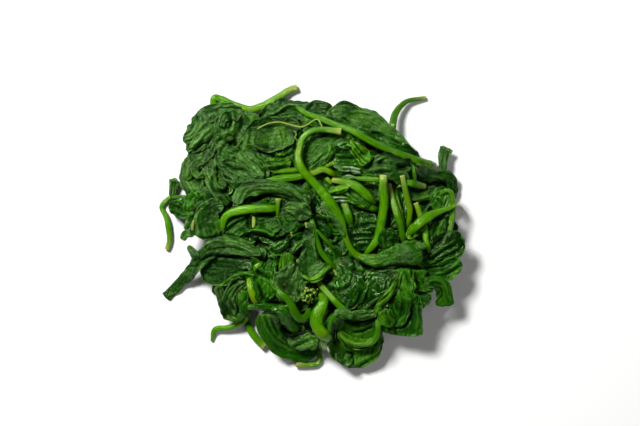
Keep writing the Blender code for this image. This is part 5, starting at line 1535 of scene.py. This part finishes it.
heap = Heap()
print("inner leaves")
inner = [coreParts(heap)]
for number, spec in enumerate(outerInner):
    inner.append(leafParts({**spec, "root": roots["inner"]}, heap, seeds["inner"] + number))
for number, spec in enumerate(flaps):
    inner.append(leafParts({**spec, "root": roots["flap"]}, heap, seeds["flap"] + number))
addPiece("inner_leaves_fine", joinParts(inner), "inner", "inner_leaves")

print("small folds")
small = fillLeaves()
groups = {"inner": [], "wet": [], "grey": []}
firstSeed, seedStep = seeds["small"]
for number, spec in enumerate(small):
    kind = "wet" if number % fill["wetEach"] == 0 else "inner"
    if sum(spec["route"][1]) < fill["greyCorner"]:
        kind = "grey"
    groups[kind].append(leafParts(spec, heap, firstSeed + seedStep * number))
for kind, parts in groups.items():
    addPiece("folds_" + kind, joinParts(parts), kind)

print("upper leaves and stems")
firstSeed, seedStep = seeds["upper"]
for number, spec in enumerate(upper):
    make = leafParts if spec["kind"] == "leaf" else stemParts
    name = spec.get("name") or spec["node"] + "_fine"
    addPiece(name, make(spec, heap, firstSeed + seedStep * number), spec["finish"], spec["node"] or None)
addPiece("bud_crumbs", budParts(heap), "stem")
print("top at", round(float(heap.tops.max()), 1), "mm before pressing,", len(small), "small folds")

stage = {
    "floor": 3.0,                # metres from side to side
    "floorHeight": -0.0002,
    "floorColour": (0.82, 0.82, 0.81, 1),
    "floorRoughness": 0.9,
    "photoMiddle": (320.0, 213.0),
    "viewWidth": 0.320,
    "viewHeight": 0.010,         # height in the heap at which the view is that wide
    "lens": 85.0,
    "sensor": 36.0,
    "world": 0.050,
    "lights": {                  # place, size and watts
        "key": ((-0.42, 0.50, 0.77), 0.26, 18.0),
        "fill": ((0.65, -0.25, 0.75), 0.90, 2.6),
    },
}


def makeFloor():
    bpy.ops.mesh.primitive_plane_add(size=stage["floor"], location=(0, 0, stage["floorHeight"]))
    floor = bpy.context.object
    floor.name = "studio_floor"
    f = Finish("studio_floor")
    f.set("Base Color", stage["floorColour"])
    f.set("Roughness", stage["floorRoughness"])
    floor.data.materials.append(f.material)


def makeLights():
    world = bpy.data.worlds.new("studio")
    bpy.context.scene.world = world
    world.use_nodes = True
    sky = world.node_tree.nodes["Background"]
    sky.inputs["Color"].default_value = (1, 1, 1, 1)
    sky.inputs["Strength"].default_value = stage["world"]
    for name, (place, size, power) in stage["lights"].items():
        light = bpy.data.lights.new(name, "AREA")
        light.size = size
        light.energy = power
        lamp = bpy.data.objects.new(name, light)
        lamp.location = place
        lamp.visible_glossy = name == "key"
        aim = -np.array(place)
        lamp.rotation_euler = (math.acos(-aim[2] / np.linalg.norm(aim)), 0,
                               math.atan2(aim[1], aim[0]) - math.pi / 2)
        bpy.context.scene.collection.objects.link(lamp)


def makeCamera():
    bpy.context.scene.view_settings.view_transform = "Standard"
    camera = bpy.data.cameras.new("camera")
    camera.lens = stage["lens"]
    camera.sensor_width = stage["sensor"]
    eye = bpy.data.objects.new("camera", camera)
    middle = toMillimetres([stage["photoMiddle"]])[0] * plan["mm"]
    distance = stage["lens"] / stage["sensor"] * stage["viewWidth"]
    eye.location = (middle[0], middle[1], stage["viewHeight"] + distance)
    bpy.context.scene.collection.objects.link(eye)
    bpy.context.scene.camera = eye


print("stage")
makeFloor()
makeLights()
makeCamera()
